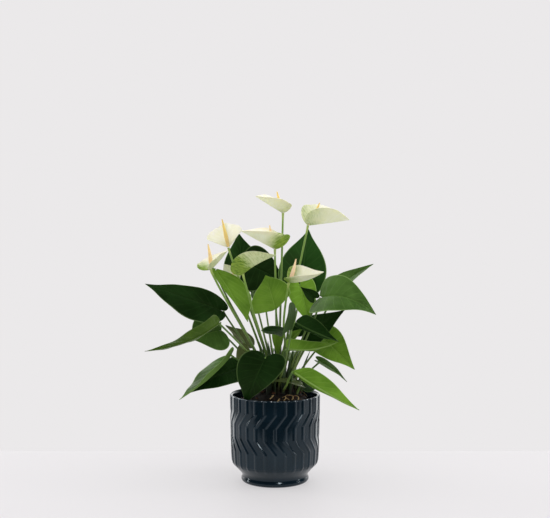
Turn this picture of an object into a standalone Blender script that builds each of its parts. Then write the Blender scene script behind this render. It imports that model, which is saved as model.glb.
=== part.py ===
# Potted anthurium: a ribbed glazed cachepot, a grow pot with bark substrate,
# heart-shaped leaves on petioles, and eight flowers (scape, spathe, spadix).
# World axes: +Z up, viewer side towards -Y, origin at the centre of the pot's underside.
from math import atan2, cos, pi, radians, sin

import bmesh
import bpy
import numpy as np

# ---------------------------------------------------------------- driving dimensions, mm and degrees
MM = 0.001
GAP = 0.3                      # clearance between touching pieces

POT_HEIGHT = 130.0
POT_FLOOR = 5.0
RIB_COUNT = 28
RIB_HEIGHT = 1.2
RIB_COLUMNS = 3                # mesh columns per rib
RIB_FADE = (22.0, 31.0)        # heights between which the ribs grow out of the smooth taper
ZIGZAG = ((0.0, 0.0), (51.0, 0.0), (70.5, -1.0), (90.0, -1.0), (109.0, 0.0), (POT_HEIGHT, 0.0))
POT_PROFILE = (                # outer radius over height, underside to rim
    (47.0, 0.0), (50.4, 4.5), (49.0, 9.0), (51.5, 14.5), (58.3, 22.0), (63.2, 27.5), (64.7, 32.0),
    (65.8, 51.0), (66.2, 70.5), (66.6, 90.0), (66.9, 109.0), (67.2, POT_HEIGHT - 1.5), (66.2, POT_HEIGHT),
)
POT_INSIDE = (                 # inner radius over height, rim to floor
    (63.6, POT_HEIGHT), (62.5, POT_HEIGHT - 1.5), (61.5, 70.0), (60.0, 34.0), (56.0, 26.0), (46.5, 12.0),
    (43.0, POT_FLOOR),
)

GROW_POT_HEIGHT = 113.0
GROW_POT_TOP_RADIUS = 53.0
GROW_POT_BASE_RADIUS = 40.0
GROW_POT_WALL = 1.2
GROW_POT_LIP = 2.0
DRAIN_RADIUS = 7.0
TURN_STEPS = 48

MOUND_TOP = 142.0              # highest point of the substrate
MOUND_FALL = 22.0              # drop from the top to the edge
MOUND_RADIUS = 51.0
MOUND_RINGS = (0.97, 0.8, 0.6, 0.4, 0.2, 0.07)

CROWN = (5.0, 0.0)             # where the stems leave the substrate
CROWN_REACH = 36.0             # foot distance of a stem that would lie flat
CROWN_LIMIT = 40.0
STEM_POINTS = 22
STEM_LEAN = 0.35               # how far a stem leaves the substrate towards its blade
STEM_PULLS = (0.42, 0.28)      # reach of the foot's and the joint's direction along the stem
STEM_SPACING = 5.8             # stems settle at least this far apart, axis to axis
BLADE_SPACING = 5.6            # and this far from any other blade
SETTLE_STEPS = 150
PUSH_SHARE = 0.7               # part of each push that is taken in one step
PUSH_LIMIT = 1.5
PUSH_LIFT = 0.15               # part of each push that may lift or lower a stem
PUSH_FLAT = 0.3                # smallest share of a push that counts as sideways
EASE_SHARE = 0.5               # how much each step straightens the stems
JOINT_FREEDOM = (0.6, 0.25, 0.0)
MOUND_CLEARANCE = 2.2          # stems keep this far above the substrate after their foot

PETIOLE_RADIUS = 1.7
SCAPE_RADIUS = 2.0
STEM_FOOT_RADIUS = 2.1
PETIOLE_SWELL = 0.12           # extra thickness at the foot
JOINT_DEPTH = 3.55             # from the sinus down to the stem's end
ARRIVAL = (0.75, 0.35, 0.6)    # a stem arrives along the blade's upper side, its heading and straight up
ARRIVAL_SIDE = 0.5             # how much of its sideways slant is taken out
ARCH_PLACE = 0.45              # where along the blade its midrib is highest
LOBE_RISE = (0.12, 0.29, 1.2, 0.8)    # lifted lobes: start and span along the blade, power along and across
LEAF_THICKNESS = 1.0
SPATHE_THICKNESS = 0.9
HALF_COLUMNS = 2               # mesh columns from midrib to margin
MIDRIB_ROWS = (0.035, 0.985, 1.35)    # first row, last row, and how rows gather at the sinus
TIP_HALF_WIDTH = 0.8
LARGE_WIDTH = 30.0             # wider leaves have one more row
HIGH_BASE = 160.0              # petioles that reach higher have more rings
SPATHE_ROWS = 6
SCAPE_RINGS = 8
SPADIX_RADII = (1.0, 2.1, 2.4, 2.3, 1.9, 1.0)
SPADIX_LIFT = 1.8              # the spadix starts this far above the sinus
SPADIX_STEP = 1.5              # and this far along the spathe
SPADIX_START = 0.5

# Right half of each flat outline, as fractions of the blade's length, from the sinus to the tip.
HEART = (
    (0.0, 0.0), (0.035, -0.07), (0.13, -0.15), (0.25, -0.165), (0.36, -0.10), (0.43, 0.03), (0.44, 0.19),
    (0.39, 0.37), (0.30, 0.54), (0.19, 0.70), (0.10, 0.83), (0.04, 0.93), (0.0, 1.0),
)
SPATHE = (
    (0.0, 0.0), (0.04, -0.08), (0.14, -0.17), (0.27, -0.17), (0.38, -0.07), (0.45, 0.10), (0.45, 0.30),
    (0.39, 0.48), (0.29, 0.65), (0.17, 0.80), (0.08, 0.91), (0.03, 0.97), (0.0, 1.0),
)

# Each blade: base is the sinus where the stem joins, tip its point, face the way its upper side looks.
# arch lifts the midrib off the straight line, fold raises the two halves (one angle, or one each),
# curl bends the halves further towards the margin, skew slides each half towards the tip,
# lobes stretches the two lobes behind the sinus, lift raises them (one height, or one each),
# and halves widens or narrows each half.
LEAVES = {
    "left_high": dict(base=(-76, -4, 254), tip=(-188, -40, 297), face=(0.3, -0.8, 0.45), width=62,
                      arch=0, fold=(8, 0), lobes=0.35, skew=(0.05, -0.05), halves=(1.1, 0.95),
                      tone="dark"),
    "left_edge": dict(base=(-79, -78, 244), tip=(-183, -92, 206), face=(-0.32, -0.22, 0.95), width=48,
                      arch=-9, fold=(14, 20), lobes=0.2, tone="bright"),
    "left_back": dict(base=(-81, 14, 223), tip=(-149, 0, 203), face=(-0.1, -0.95, 0.3), width=62,
                      arch=3, fold=5, skew=(-0.35, 0.35), halves=(0.78, 1), tone="mid"),
    "left_low": dict(base=(-64, -36, 193), tip=(-135, -90, 137), face=(-0.75, -0.1, 0.6), width=60,
                     arch=-4, fold=25, lobes=0.2, skew=(-0.1, 0.45), halves=(0.6, 1), tone="mid"),
    "left_under": dict(base=(-54, -20, 173), tip=(-131, -60, 139), face=(-0.25, -0.8, 0.6), width=48,
                       arch=4, fold=6, halves=(1.15, 0.85), lobes=0.6, tone="dark"),
    "inner_high": dict(base=(-41, 34, 195), tip=(-76, 50, 227), face=(0.5, 0.9, 0.5), width=36,
                       arch=3, tone="olive"),
    "inner_low": dict(base=(-39, -7, 195), tip=(-58, -11, 168), face=(0.5, 0.8, 0.5), width=34,
                      arch=3, tone="olive"),
    "front": dict(base=(-14, -57, 192), tip=(-43, -37, 122), face=(-0.05, -0.95, 0.25), width=68,
                  arch=5, fold=8, lobes=0.7, skew=(-0.3, 0.3), halves=(0.92, 0.97), tone="dark"),
    "mid_left": dict(base=(-88, -20, 318), tip=(-39, -46, 242), face=(0.35, -0.85, 0.3), width=44,
                     arch=4, fold=(4, 10), lobes=0.2, skew=(0.9, 0), halves=(1.14, 0.42), tone="bright"),
    "mid_center": dict(base=(1, -30, 258), tip=(-14, 0, 307), face=(0, -0.95, 0.3), width=62,
                       arch=3, fold=6, skew=(-0.35, 0.35), lobes=0.4, halves=(1.1, 0.9), tone="bright"),
    "back_tip": dict(base=(-46, 100, 280), tip=(-58, 106, 368), face=(0, -0.98, 0.1), width=64,
                     arch=4, tone="dark"),
    "back_left": dict(base=(-44, 76, 319), tip=(18, 68, 289), face=(0, -0.9, 0.4), width=98,
                      arch=5, halves=(0.68, 1), tone="dark"),
    "back_right": dict(base=(39, 50, 279), tip=(52, 70, 373), face=(-0.1, -0.98, 0.1), width=74,
                       arch=5, tone="dark"),
    "right_big": dict(base=(64, -62, 279), tip=(143, -80, 256), face=(0.1, -0.75, 0.66), width=76,
                      arch=18, fold=(8, 14), curl=-6, lobes=0.2, tone="mid"),
    "right_curl": dict(base=(58, -38, 276), tip=(37, -34, 292), face=(0.3, -0.9, -0.2), width=18,
                       arch=1, come=(0.1, 0.35, 0.9), tone="dark"),
    "right_far": dict(base=(91, -5, 290), tip=(147, 12, 323), face=(-0.3, -0.5, 0.8), width=34,
                      arch=2, tone="mid"),
    "pale": dict(base=(37, 4, 293), tip=(52, 0, 231), face=(0, -0.9, 0.4), width=44,
                 arch=3, tone="bright"),
    "vee": dict(base=(23, -84, 236), tip=(9, -122, 230), face=(0.05, -0.35, 1), width=76,
                arch=3, fold=(82, -26), lobes=0.8, halves=(1, 1.12), lift=(0, 16), skew=(0.3, 0),
                curl=24, tone="dark"),
    "right_dark": dict(base=(29, -58, 243), tip=(89, -96, 220), face=(0.15, -0.8, 0.55), width=54,
                       arch=-3, come=(0.3, -0.9, 0.25), lobes=0.15, fold=(10, -95),
                       halves=(0.72, 0.4), skew=(0.2, 0), tone="dark"),
    "right_shade": dict(base=(42, -9, 217), tip=(102, -29, 258), face=(0.1, -0.95, 0.25), width=46,
                        arch=2, tone="dark"),
    "right_long": dict(base=(17, -55, 204), tip=(89, -82, 218), face=(0, -0.85, 0.5), width=48,
                       arch=-14, lobes=0.1, fold=(0, -100), halves=(0.68, 0.35), tone="bright"),
    "right_green": dict(base=(71, 6, 212), tip=(117, -28, 170), face=(-0.2, -0.85, 0.5), width=50,
                        arch=5, tone="bright"),
    "right_small": dict(base=(67, 4, 178), tip=(108, 10, 146), face=(0.4, -0.5, 0.75), width=18,
                        arch=3, tone="mid"),
    "right_front": dict(base=(25, -74, 175), tip=(115, -136, 131), face=(0.3, -0.8, 0.5), width=43,
                        arch=-4, fold=(8, -100), lobes=0.1, halves=(1, 0.45), skew=(0.35, 0),
                        tone="bright"),
    "right_rear": dict(base=(43, 14, 140), tip=(68, 44, 138), face=(0, -0.9, 0.4), width=26,
                       arch=2, tone="dark"),
    "mid_small": dict(base=(4, -27, 224), tip=(4, -31, 189), face=(0, -1, 0.1), width=17,
                      arch=1, tone="bright"),
    "low_small": dict(base=(37, -21, 147), tip=(-5, -45, 156), face=(0, -0.5, 0.9), width=18,
                      arch=3, tone="olive"),
    "curl_small": dict(base=(24, -24, 216), tip=(41, -18, 230), face=(0, -0.6, 0.8), width=14,
                       arch=1, tone="bright"),
    "rear_high": dict(base=(-16, 112, 268), tip=(-8, 152, 328), face=(0.1, 0.9, -0.2), width=48,
                      arch=5, tone="dark"),
    "rear_low_left": dict(base=(-36, 66, 170), tip=(-68, 132, 142), face=(-0.2, 0.5, 0.8), width=52,
                          arch=8, tone="dark"),
    "rear_low_right": dict(base=(18, 66, 182), tip=(30, 142, 148), face=(0.1, 0.5, 0.8), width=50,
                           arch=8, tone="mid"),
}

# Each flower's spathe follows the same rules, and spadix is the spadix's free end.
FLOWERS = {
    "flower_1": dict(base=(-69, 0, 348), tip=(-75, 36, 384), face=(-0.2, -0.6, 0.75), width=66,
                     arch=-2, fold=(36, 40), lobes=0.3, lift=12, spadix=(-78, -8, 390)),
    "flower_2": dict(base=(-92, -50, 319), tip=(-69, -24, 345), face=(-0.5, -0.2, 0.8), width=50,
                     arch=-1, fold=(30, 30), lobes=1.4, lift=4, spadix=(-96, -52, 355)),
    "flower_3": dict(base=(12, 30, 399), tip=(-29, 10, 424), face=(-0.3, -0.1, 0.9), width=46,
                     arch=0, fold=(30, 45), lobes=1.2, lift=8, spadix=(3, 32, 431)),
    "flower_4": dict(base=(49, 4, 381), tip=(110, -2, 389), face=(-0.15, -0.05, 0.95), width=64,
                     arch=0, fold=(62, 34), lift=(10, 0), lobes=0.8, spadix=(66, -1, 414)),
    "flower_5": dict(base=(0, -5, 346), tip=(-50, -14, 373), face=(-0.2, -0.05, 0.9), width=60,
                     arch=0, fold=(35, 46), lobes=1.05, lift=(20, 12), curl=14, spadix=(-8, -2, 381)),
    "flower_6": dict(base=(-46, -50, 312), tip=(2, -56, 339), face=(0.1, 0.1, 0.9), width=58,
                     arch=3, fold=(40, 45), spadix=(-40, -30, 342)),
    "flower_7": dict(base=(20, -64, 301), tip=(69, -80, 317), face=(0, -0.1, 0.95), width=50,
                     arch=-4, fold=(54, 29), lift=(6, 3), lobes=0.5, halves=(1.05, 0.85),
                     spadix=(30, -62, 334)),
    "flower_8": dict(base=(-62, 17, 300), tip=(-76, 8, 323), face=(-0.2, 0.6, 0.6), width=26,
                     arch=1, fold=20, spadix=(-66, 20, 319)),
}

COLOURS = {                    # base colour, roughness
    "glaze": ((0.012, 0.022, 0.045), 0.12),
    "plastic": ((0.015, 0.015, 0.017), 0.5),
    "bark": ((0.045, 0.022, 0.012), 0.9),
    "dark": ((0.012, 0.05, 0.014), 0.35),
    "mid": ((0.03, 0.12, 0.02), 0.35),
    "bright": ((0.12, 0.30, 0.045), 0.4),
    "olive": ((0.16, 0.19, 0.05), 0.5),
    "spathe": ((0.80, 0.83, 0.58), 0.4),
    "spadix": ((0.86, 0.62, 0.20), 0.6),
    "scape": ((0.20, 0.36, 0.08), 0.45),
}


# ---------------------------------------------------------------- small vector helpers
def unit(vector):
    vector = np.asarray(vector, float)
    return vector / np.linalg.norm(vector)


def across(vector, axis):
    """The part of a vector at right angles to an axis, as a unit vector."""
    vector = np.asarray(vector, float)
    return unit(vector - np.dot(vector, axis) * axis)


def smooth_curve(points, fractions):
    """Catmull-Rom curve through the points, read at fractions of its chord length."""
    points = np.array(points, float)
    padded = np.vstack([2 * points[0] - points[1], points, 2 * points[-1] - points[-2]])
    reach = np.concatenate([[0.0], np.cumsum(np.linalg.norm(np.diff(points, axis=0), axis=1))])
    reach /= reach[-1]
    result = []
    for fraction in fractions:
        span = int(np.clip(np.searchsorted(reach, fraction, side="right") - 1, 0, len(points) - 2))
        t = (fraction - reach[span]) / (reach[span + 1] - reach[span])
        a, b, c, d = padded[span:span + 4]
        bend = (2 * a - 5 * b + 4 * c - d) * t * t + (3 * b - a - 3 * c + d) * t ** 3
        result.append(0.5 * (2 * b + (c - a) * t + bend))
    return np.array(result)


def mound_height(reach):
    """Height of the substrate at a distance from the pot's axis."""
    return MOUND_TOP - MOUND_FALL * (reach / MOUND_RADIUS) ** 2


def standing_height(x, y):
    """Height of a level stem end that touches the sloping mound with its inner edge."""
    return mound_height(np.maximum(np.hypot(x, y) - STEM_FOOT_RADIUS, 0)) + GAP


# ---------------------------------------------------------------- blades: leaves and spathes
class Blade:
    """A heart-shaped blade bent along an arched midrib, with the joint of its stem below the sinus."""

    def __init__(self, design, outline):
        lobes = design.get("lobes", 1)
        self.outline = [(x, y * lobes if y < 0 else y) for x, y in outline]
        self.base = np.array(design["base"], float)
        self.tip = np.array(design["tip"], float)
        self.length = np.linalg.norm(self.tip - self.base)
        chord = unit(self.tip - self.base)
        self.up = across(design["face"], chord)
        side = np.cross(chord, self.up)
        self.control = self.base + chord * self.length * ARCH_PLACE + self.up * design["arch"] * 2
        fold = design.get("fold", 12)
        self.folds = fold if isinstance(fold, tuple) else (fold, fold)
        lift = design.get("lift", 0)
        self.lifts = lift if isinstance(lift, tuple) else (lift, lift)
        self.curl = design.get("curl", 0)
        skew = design.get("skew", 0)
        self.skews = skew if isinstance(skew, tuple) else (skew, skew)
        self.widest = max(x for x, y in outline)
        self.scale = design["width"] / 2 / self.widest
        self.halves = design.get("halves", (1, 1))
        self.start = self.heading(0)
        self.start_up = unit(np.cross(side, self.start))
        arrival = self.start_up * ARRIVAL[0] + self.start * ARRIVAL[1] + np.array([0, 0, ARRIVAL[2]])
        arrival = unit(design.get("come", arrival))
        self.arrival = unit(arrival - ARRIVAL_SIDE * np.dot(arrival, side) * side)
        self.joint = self.base - self.arrival * JOINT_DEPTH

    def heading(self, along):
        along = max(along, 0)
        return unit((1 - along) * (self.control - self.base) + along * (self.tip - self.control))

    def midrib(self, along):
        if along < 0:
            return self.base + 2 * along * (self.control - self.base)
        if along > 1:
            return self.tip + self.heading(1) * (along - 1) * self.length
        return (1 - along) ** 2 * self.base + 2 * along * (1 - along) * self.control + along ** 2 * self.tip

    def point(self, x, y):
        """Place of a flat point (x across, y along, as fractions of the length), and the normal there."""
        along = y + self.skews[1 if x > 0 else 0] * abs(x)
        heading = self.heading(min(along, 1))
        normal = across(self.up, heading)
        side = np.cross(heading, normal)
        hand = np.sign(x)
        fold = radians(self.folds[1] if x > 0 else self.folds[0]) * abs(hand)
        rise = fold + radians(self.curl) * abs(x) / self.widest / 2
        reach = abs(x) * self.scale * self.halves[1 if x > 0 else 0]
        place = self.midrib(along) + (side * hand * cos(rise) + normal * sin(rise)) * reach
        begin, span, power, spread = LOBE_RISE
        behind = min(max((begin - y) / span, 0), 1) ** power * (abs(x) / self.widest) ** spread
        place = place + normal * behind * self.lifts[1 if x > 0 else 0]
        return place, normal * cos(fold) - side * hand * sin(fold)

    def row(self, fraction, margin, columns):
        """Flat points of one row, from the left margin over the midrib to the right margin."""
        first, last, gather = MIDRIB_ROWS
        middle = max(last * fraction ** gather, first)
        fans = np.linspace(-1, 1, 2 * columns + 1)
        return [(fan * margin[0], middle + (margin[1] - middle) * abs(fan)) for fan in fans]

    def margins(self, rows):
        margins = smooth_curve(self.outline, np.linspace(0, 1, rows + 1))[1:]
        margins[-1] = (TIP_HALF_WIDTH / self.scale, MIDRIB_ROWS[1])
        return margins

    def samples(self, rows=12, columns=5):
        margins = smooth_curve(self.outline, np.linspace(0, 1, rows + 1))[1:]
        fractions = np.linspace(0, 1, rows + 1)[1:]
        flat = [self.row(f, m, columns) for f, m in zip(fractions, margins)]
        return np.array([self.point(x, y)[0] for row in flat for x, y in row])

    def loops(self, rows, thickness):
        """Closed loops round the blade, sinus to tip: upper side left to right, then back below."""
        loops = []
        for index, margin in enumerate(self.margins(rows)):
            flat = self.row((index + 1) / rows, margin, HALF_COLUMNS)
            placed = [self.point(x, y) for x, y in flat]
            upper = [place + normal * thickness / 2 for place, normal in placed]
            lower = [place - normal * thickness / 2 for place, normal in placed]
            loops.append(upper + lower[::-1])
        return loops

    def stem_loops(self, path, rings, radius):
        """Loops round the petiole, foot to joint, turned so that the last one meets the blade's first."""
        slope = atan2(np.dot(self.arrival, self.start_up), np.dot(self.arrival, self.start))
        crown = across(cos(slope) * self.start_up - sin(slope) * self.start, self.arrival)
        if path is None:
            return [stem_ring(self.joint, self.arrival, crown, radius)]
        stations = np.linspace(0, len(path) - 1, rings)
        headings = np.gradient(path, axis=0)
        loops = []
        for station in stations[::-1]:
            centre = between(path, station)
            heading = self.arrival if station == stations[-1] else unit(between(headings, station))
            heading = np.array([0.0, 0.0, 1.0]) if station == 0 else heading
            crown = across(crown, heading)
            swell = 1 + PETIOLE_SWELL * (1 - station / (len(path) - 1))
            loops.append(stem_ring(centre, heading, crown, radius * swell))
        return loops[::-1]


def between(rows, station):
    low = int(station)
    high = min(low + 1, len(rows) - 1)
    return rows[low] + (rows[high] - rows[low]) * (station - low)


def stem_ring(centre, heading, crown, radius):
    side = np.cross(heading, crown)
    count = 2 * HALF_COLUMNS + 1
    angles = [pi - pi * (step + 0.5) / count for step in range(count)]
    upper = [centre + radius * (cos(angle) * side + sin(angle) * crown) for angle in angles]
    lower = [centre + radius * (cos(angle) * side - sin(angle) * crown) for angle in angles[::-1]]
    return upper + lower


# ---------------------------------------------------------------- stems settling among each other
def crown_foot(base):
    """Low stems start far out and upright ones near the middle, so that they fan out without crossing."""
    out = np.array(base[:2], float) - CROWN
    reach = np.linalg.norm(out)
    lean = atan2(reach, base[2] - MOUND_TOP) / (pi / 2)
    x, y = np.array(CROWN) + out / reach * CROWN_REACH * lean
    return np.array([x, y, standing_height(x, y)])


def first_path(foot, joint, arrival):
    span = np.linalg.norm(joint - foot)
    lean = np.array([joint[0] - foot[0], joint[1] - foot[1], 0]) * STEM_LEAN / span
    low = foot + unit(np.array([0, 0, 1]) + lean) * span * STEM_PULLS[0]
    high = joint - arrival * span * STEM_PULLS[1]
    t = np.linspace(0, 1, STEM_POINTS)[:, None]
    return (1 - t) ** 3 * foot + 3 * t * (1 - t) ** 2 * low + 3 * t * t * (1 - t) * high + t ** 3 * joint


def pushes(points, owners, others, other_owners, spacing):
    """How far each point is pushed sideways by the foreign points that lie too near."""
    push = np.zeros_like(points)
    squares = (points ** 2).sum(1)[:, None] + (others ** 2).sum(1)[None, :] - 2 * points @ others.T
    near, far = np.nonzero(squares < spacing ** 2)
    foreign = owners[near] != other_owners[far]
    near, far = near[foreign], far[foreign]
    if len(near):
        away = points[near] - others[far]
        distance = np.sqrt((away ** 2).sum(1)) + 1e-6
        away[:, 2] *= PUSH_LIFT
        away /= np.maximum(np.sqrt((away ** 2).sum(1)), PUSH_FLAT * distance)[:, None]
        crowd = np.sqrt(np.bincount(near, minlength=len(points))[near])
        np.add.at(push, near, away * ((spacing - distance) / crowd)[:, None])
    return push


def settle(paths, blades):
    """Let the stems push each other and keep off the blades, with their joints held where they are."""
    paths = np.array(paths)
    owners = np.repeat(np.arange(len(paths)), STEM_POINTS)
    clouds = [blade.samples() for blade in blades]
    cloud = np.concatenate(clouds)
    cloud_owners = np.repeat(np.arange(len(clouds)), [len(points) for points in clouds])
    freedom = np.ones(STEM_POINTS)
    freedom[-3:] = JOINT_FREEDOM
    freedom = freedom[None, :, None]
    for step in range(SETTLE_STEPS):
        points = paths.reshape(-1, 3)
        push = pushes(points, owners, points, owners, STEM_SPACING) / 2
        push += pushes(points, owners, cloud, cloud_owners, BLADE_SPACING)
        push = push.reshape(paths.shape) * freedom
        paths = paths + PUSH_SHARE * np.clip(push, -PUSH_LIMIT, PUSH_LIMIT)
        eased = paths.copy()
        eased[:, 1:-1] = (paths[:, :-2] + 2 * paths[:, 1:-1] + paths[:, 2:]) / 4
        paths = paths + EASE_SHARE * freedom * (eased - paths)
        stand_on_mound(paths)
    return paths


def stand_on_mound(paths):
    out = paths[:, 0, :2] - CROWN
    reach = np.maximum(np.linalg.norm(out, axis=1), 1e-6)
    paths[:, 0, :2] = CROWN + out * np.minimum(1, CROWN_LIMIT / reach)[:, None]
    paths[:, 0, 2] = standing_height(paths[:, 0, 0], paths[:, 0, 1])
    paths[:, 1, :2] = 0.5 * paths[:, 1, :2] + 0.375 * paths[:, 0, :2] + 0.125 * paths[:, 2, :2]
    floor = standing_height(paths[:, 1:, 0], paths[:, 1:, 1]) + MOUND_CLEARANCE
    paths[:, 1:, 2] = np.maximum(paths[:, 1:, 2], floor)


# ---------------------------------------------------------------- meshes
def material_for(name, look):
    colour, roughness = COLOURS[look]
    material = bpy.data.materials.new(name)
    material.use_nodes = True
    shader = material.node_tree.nodes["Principled BSDF"]
    shader.inputs["Base Color"].default_value = (*colour, 1.0)
    shader.inputs["Roughness"].default_value = roughness
    shader.inputs["Metallic"].default_value = 0.0
    return material


def add_object(name, bm, look, sharp_angle=50):
    mesh = bpy.data.meshes.new(name)
    bm.to_mesh(mesh)
    bm.free()
    mesh.shade_smooth()
    mesh.set_sharp_from_angle(angle=radians(sharp_angle))
    mesh.materials.append(material_for(name, look))
    bpy.context.scene.collection.objects.link(bpy.data.objects.new(name, mesh))


def loft(loops, closed=False):
    """Skin closed loops of equal size. closed joins the last loop to the first, as on a ring."""
    bm = bmesh.new()
    rows = [[bm.verts.new(np.asarray(point) * MM) for point in loop] for loop in loops]
    pairs = list(zip(rows, rows[1:]))
    if closed:
        pairs.append((rows[-1], rows[0]))
    for low, high in pairs:
        for index in range(len(low)):
            after = (index + 1) % len(low)
            bm.faces.new((low[index], low[after], high[after], high[index]))
    return bm, rows


def cap_flat(bm, row, outward):
    """Close a loop of a blade or petiole with a strip between its two halves."""
    last = len(row) - 1
    for index in range(len(row) // 2 - 1):
        corners = (row[index], row[index + 1], row[last - index - 1], row[last - index])
        bm.faces.new(corners if outward else corners[::-1])


def cap_round(bm, row, outward):
    bm.faces.new(row if outward else row[::-1])


def circle(radius, height, steps=TURN_STEPS, turn=0.0):
    angles = [2 * pi * step / steps + turn for step in range(steps)]
    return [(radius * cos(angle), radius * sin(angle), height) for angle in angles]


# ---------------------------------------------------------------- pot, grow pot and substrate
def rib_ring(radius, height):
    pitch = 2 * pi / RIB_COUNT
    heights, turns = zip(*ZIGZAG)
    turn = float(np.interp(height, heights, turns)) * pitch
    growth = float(np.interp(height, RIB_FADE, (0.0, 1.0)))
    ring = []
    for column in range(RIB_COUNT * RIB_COLUMNS):
        angle = column * pitch / RIB_COLUMNS + turn
        ridge = 0.5 + 0.5 * cos(2 * pi * column / RIB_COLUMNS)
        bulge = radius - RIB_HEIGHT * growth * (1 - ridge)
        ring.append((bulge * cos(angle), bulge * sin(angle), height))
    return ring


def build_cachepot():
    columns = RIB_COUNT * RIB_COLUMNS
    outer = [rib_ring(radius, height) for radius, height in POT_PROFILE]
    inner = [circle(radius, height, columns) for radius, height in POT_INSIDE]
    bm, rows = loft(outer + inner)
    cap_round(bm, rows[0], outward=False)
    cap_round(bm, rows[-1], outward=True)
    add_object("cachepot", bm, "glaze", sharp_angle=70)


def build_grow_pot():
    bottom = POT_FLOOR + GAP
    top = bottom + GROW_POT_HEIGHT
    wall = GROW_POT_WALL
    profile = (
        (DRAIN_RADIUS, bottom),
        (GROW_POT_BASE_RADIUS, bottom),
        (GROW_POT_TOP_RADIUS, top - GROW_POT_LIP),
        (GROW_POT_TOP_RADIUS + GROW_POT_LIP, top - GROW_POT_LIP),
        (GROW_POT_TOP_RADIUS + GROW_POT_LIP, top),
        (GROW_POT_TOP_RADIUS - wall, top),
        (GROW_POT_BASE_RADIUS - wall, bottom + wall),
        (DRAIN_RADIUS, bottom + wall),
    )
    bm, _ = loft([circle(radius, height) for radius, height in profile], closed=True)
    add_object("grow_pot", bm, "plastic", sharp_angle=30)


def build_substrate():
    bottom = POT_FLOOR + GAP + GROW_POT_WALL + GAP
    top = POT_FLOOR + GAP + GROW_POT_HEIGHT
    inset = GROW_POT_WALL + 2 * GAP
    rings = [circle(GROW_POT_BASE_RADIUS - inset, bottom), circle(GROW_POT_TOP_RADIUS - inset, top)]
    edge = GROW_POT_TOP_RADIUS - inset
    for share in MOUND_RINGS:
        radius = edge * share
        rings.append(circle(radius, mound_height(radius)))
    bm, rows = loft(rings)
    cap_round(bm, rows[0], outward=False)
    cap_round(bm, rows[-1], outward=True)
    add_object("substrate", bm, "bark")


# ---------------------------------------------------------------- plant
def build_leaf(name, design, blade, path):
    rows = 7 if design["width"] > LARGE_WIDTH else 6
    rings = 6 if design["base"][2] > HIGH_BASE else 4
    loops = blade.stem_loops(path, rings, PETIOLE_RADIUS) + blade.loops(rows, LEAF_THICKNESS)
    bm, skin = loft(loops)
    cap_flat(bm, skin[0], outward=False)
    cap_flat(bm, skin[-1], outward=True)
    add_object("leaf_" + name, bm, design["tone"])


def build_spathe(name, blade):
    loops = blade.stem_loops(None, 1, PETIOLE_RADIUS) + blade.loops(SPATHE_ROWS, SPATHE_THICKNESS)
    bm, skin = loft(loops)
    cap_flat(bm, skin[0], outward=False)
    cap_flat(bm, skin[-1], outward=True)
    add_object(name + "_spathe", bm, "spathe")


def round_tube(path, radii, sides=6, level_foot=False):
    headings = [unit(heading) for heading in np.gradient(np.array(path), axis=0)]
    if level_foot:
        headings[0] = np.array([0.0, 0.0, 1.0])
    crown = across((1.0, 0.3, 0.1), headings[0])
    loops = []
    for centre, heading, radius in zip(path, headings, radii):
        crown = across(crown, heading)
        side = np.cross(heading, crown)
        angles = [2 * pi * step / sides for step in range(sides)]
        loops.append([centre + radius * (cos(angle) * crown + sin(angle) * side) for angle in angles])
    bm, rows = loft(loops)
    cap_round(bm, rows[0], outward=False)
    cap_round(bm, rows[-1], outward=True)
    return bm


def build_spadix(name, design, blade):
    """The rod stands just above the spathe's sinus and leans to its free end."""
    end = np.array(design["spadix"], float)
    foot = blade.base + blade.start_up * SPADIX_LIFT + blade.start * SPADIX_STEP
    foot = foot + unit(end - foot) * SPADIX_START
    path = [foot + (end - foot) * share for share in np.linspace(0, 1, len(SPADIX_RADII))]
    add_object(name + "_spadix", round_tube(path, SPADIX_RADII), "spadix")


def build_scape(name, path):
    stations = np.linspace(0, len(path) - 1, SCAPE_RINGS)
    centres = [between(path, station) for station in stations]
    radii = [SCAPE_RADIUS] * (SCAPE_RINGS - 1) + [PETIOLE_RADIUS]
    add_object(name + "_scape", round_tube(centres, radii, level_foot=True), "scape")


def build_plant():
    designs = list(LEAVES.values()) + list(FLOWERS.values())
    blades = [Blade(design, HEART) for design in LEAVES.values()]
    blades += [Blade(design, SPATHE) for design in FLOWERS.values()]
    paths = []
    for index, (design, blade) in enumerate(zip(designs, blades)):
        joint = blade.joint if index < len(LEAVES) else blade.joint - blade.arrival * 2 * GAP
        paths.append(first_path(crown_foot(design["base"]), joint, blade.arrival))
    paths = settle(paths, blades)
    for index, (name, design) in enumerate(LEAVES.items()):
        build_leaf(name, design, blades[index], paths[index])
    for index, (name, design) in enumerate(FLOWERS.items(), start=len(LEAVES)):
        build_scape(name, paths[index])
        build_spathe(name, blades[index])
        build_spadix(name, design, blades[index])


def main():
    for thing in list(bpy.data.objects):
        bpy.data.objects.remove(thing)
    build_cachepot()
    build_grow_pot()
    build_substrate()
    build_plant()


main()
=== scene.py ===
import random
from math import atan2, cos, pi, radians, sin

import bmesh
import bpy
import numpy as np
from mathutils import Matrix, Vector, noise


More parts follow.
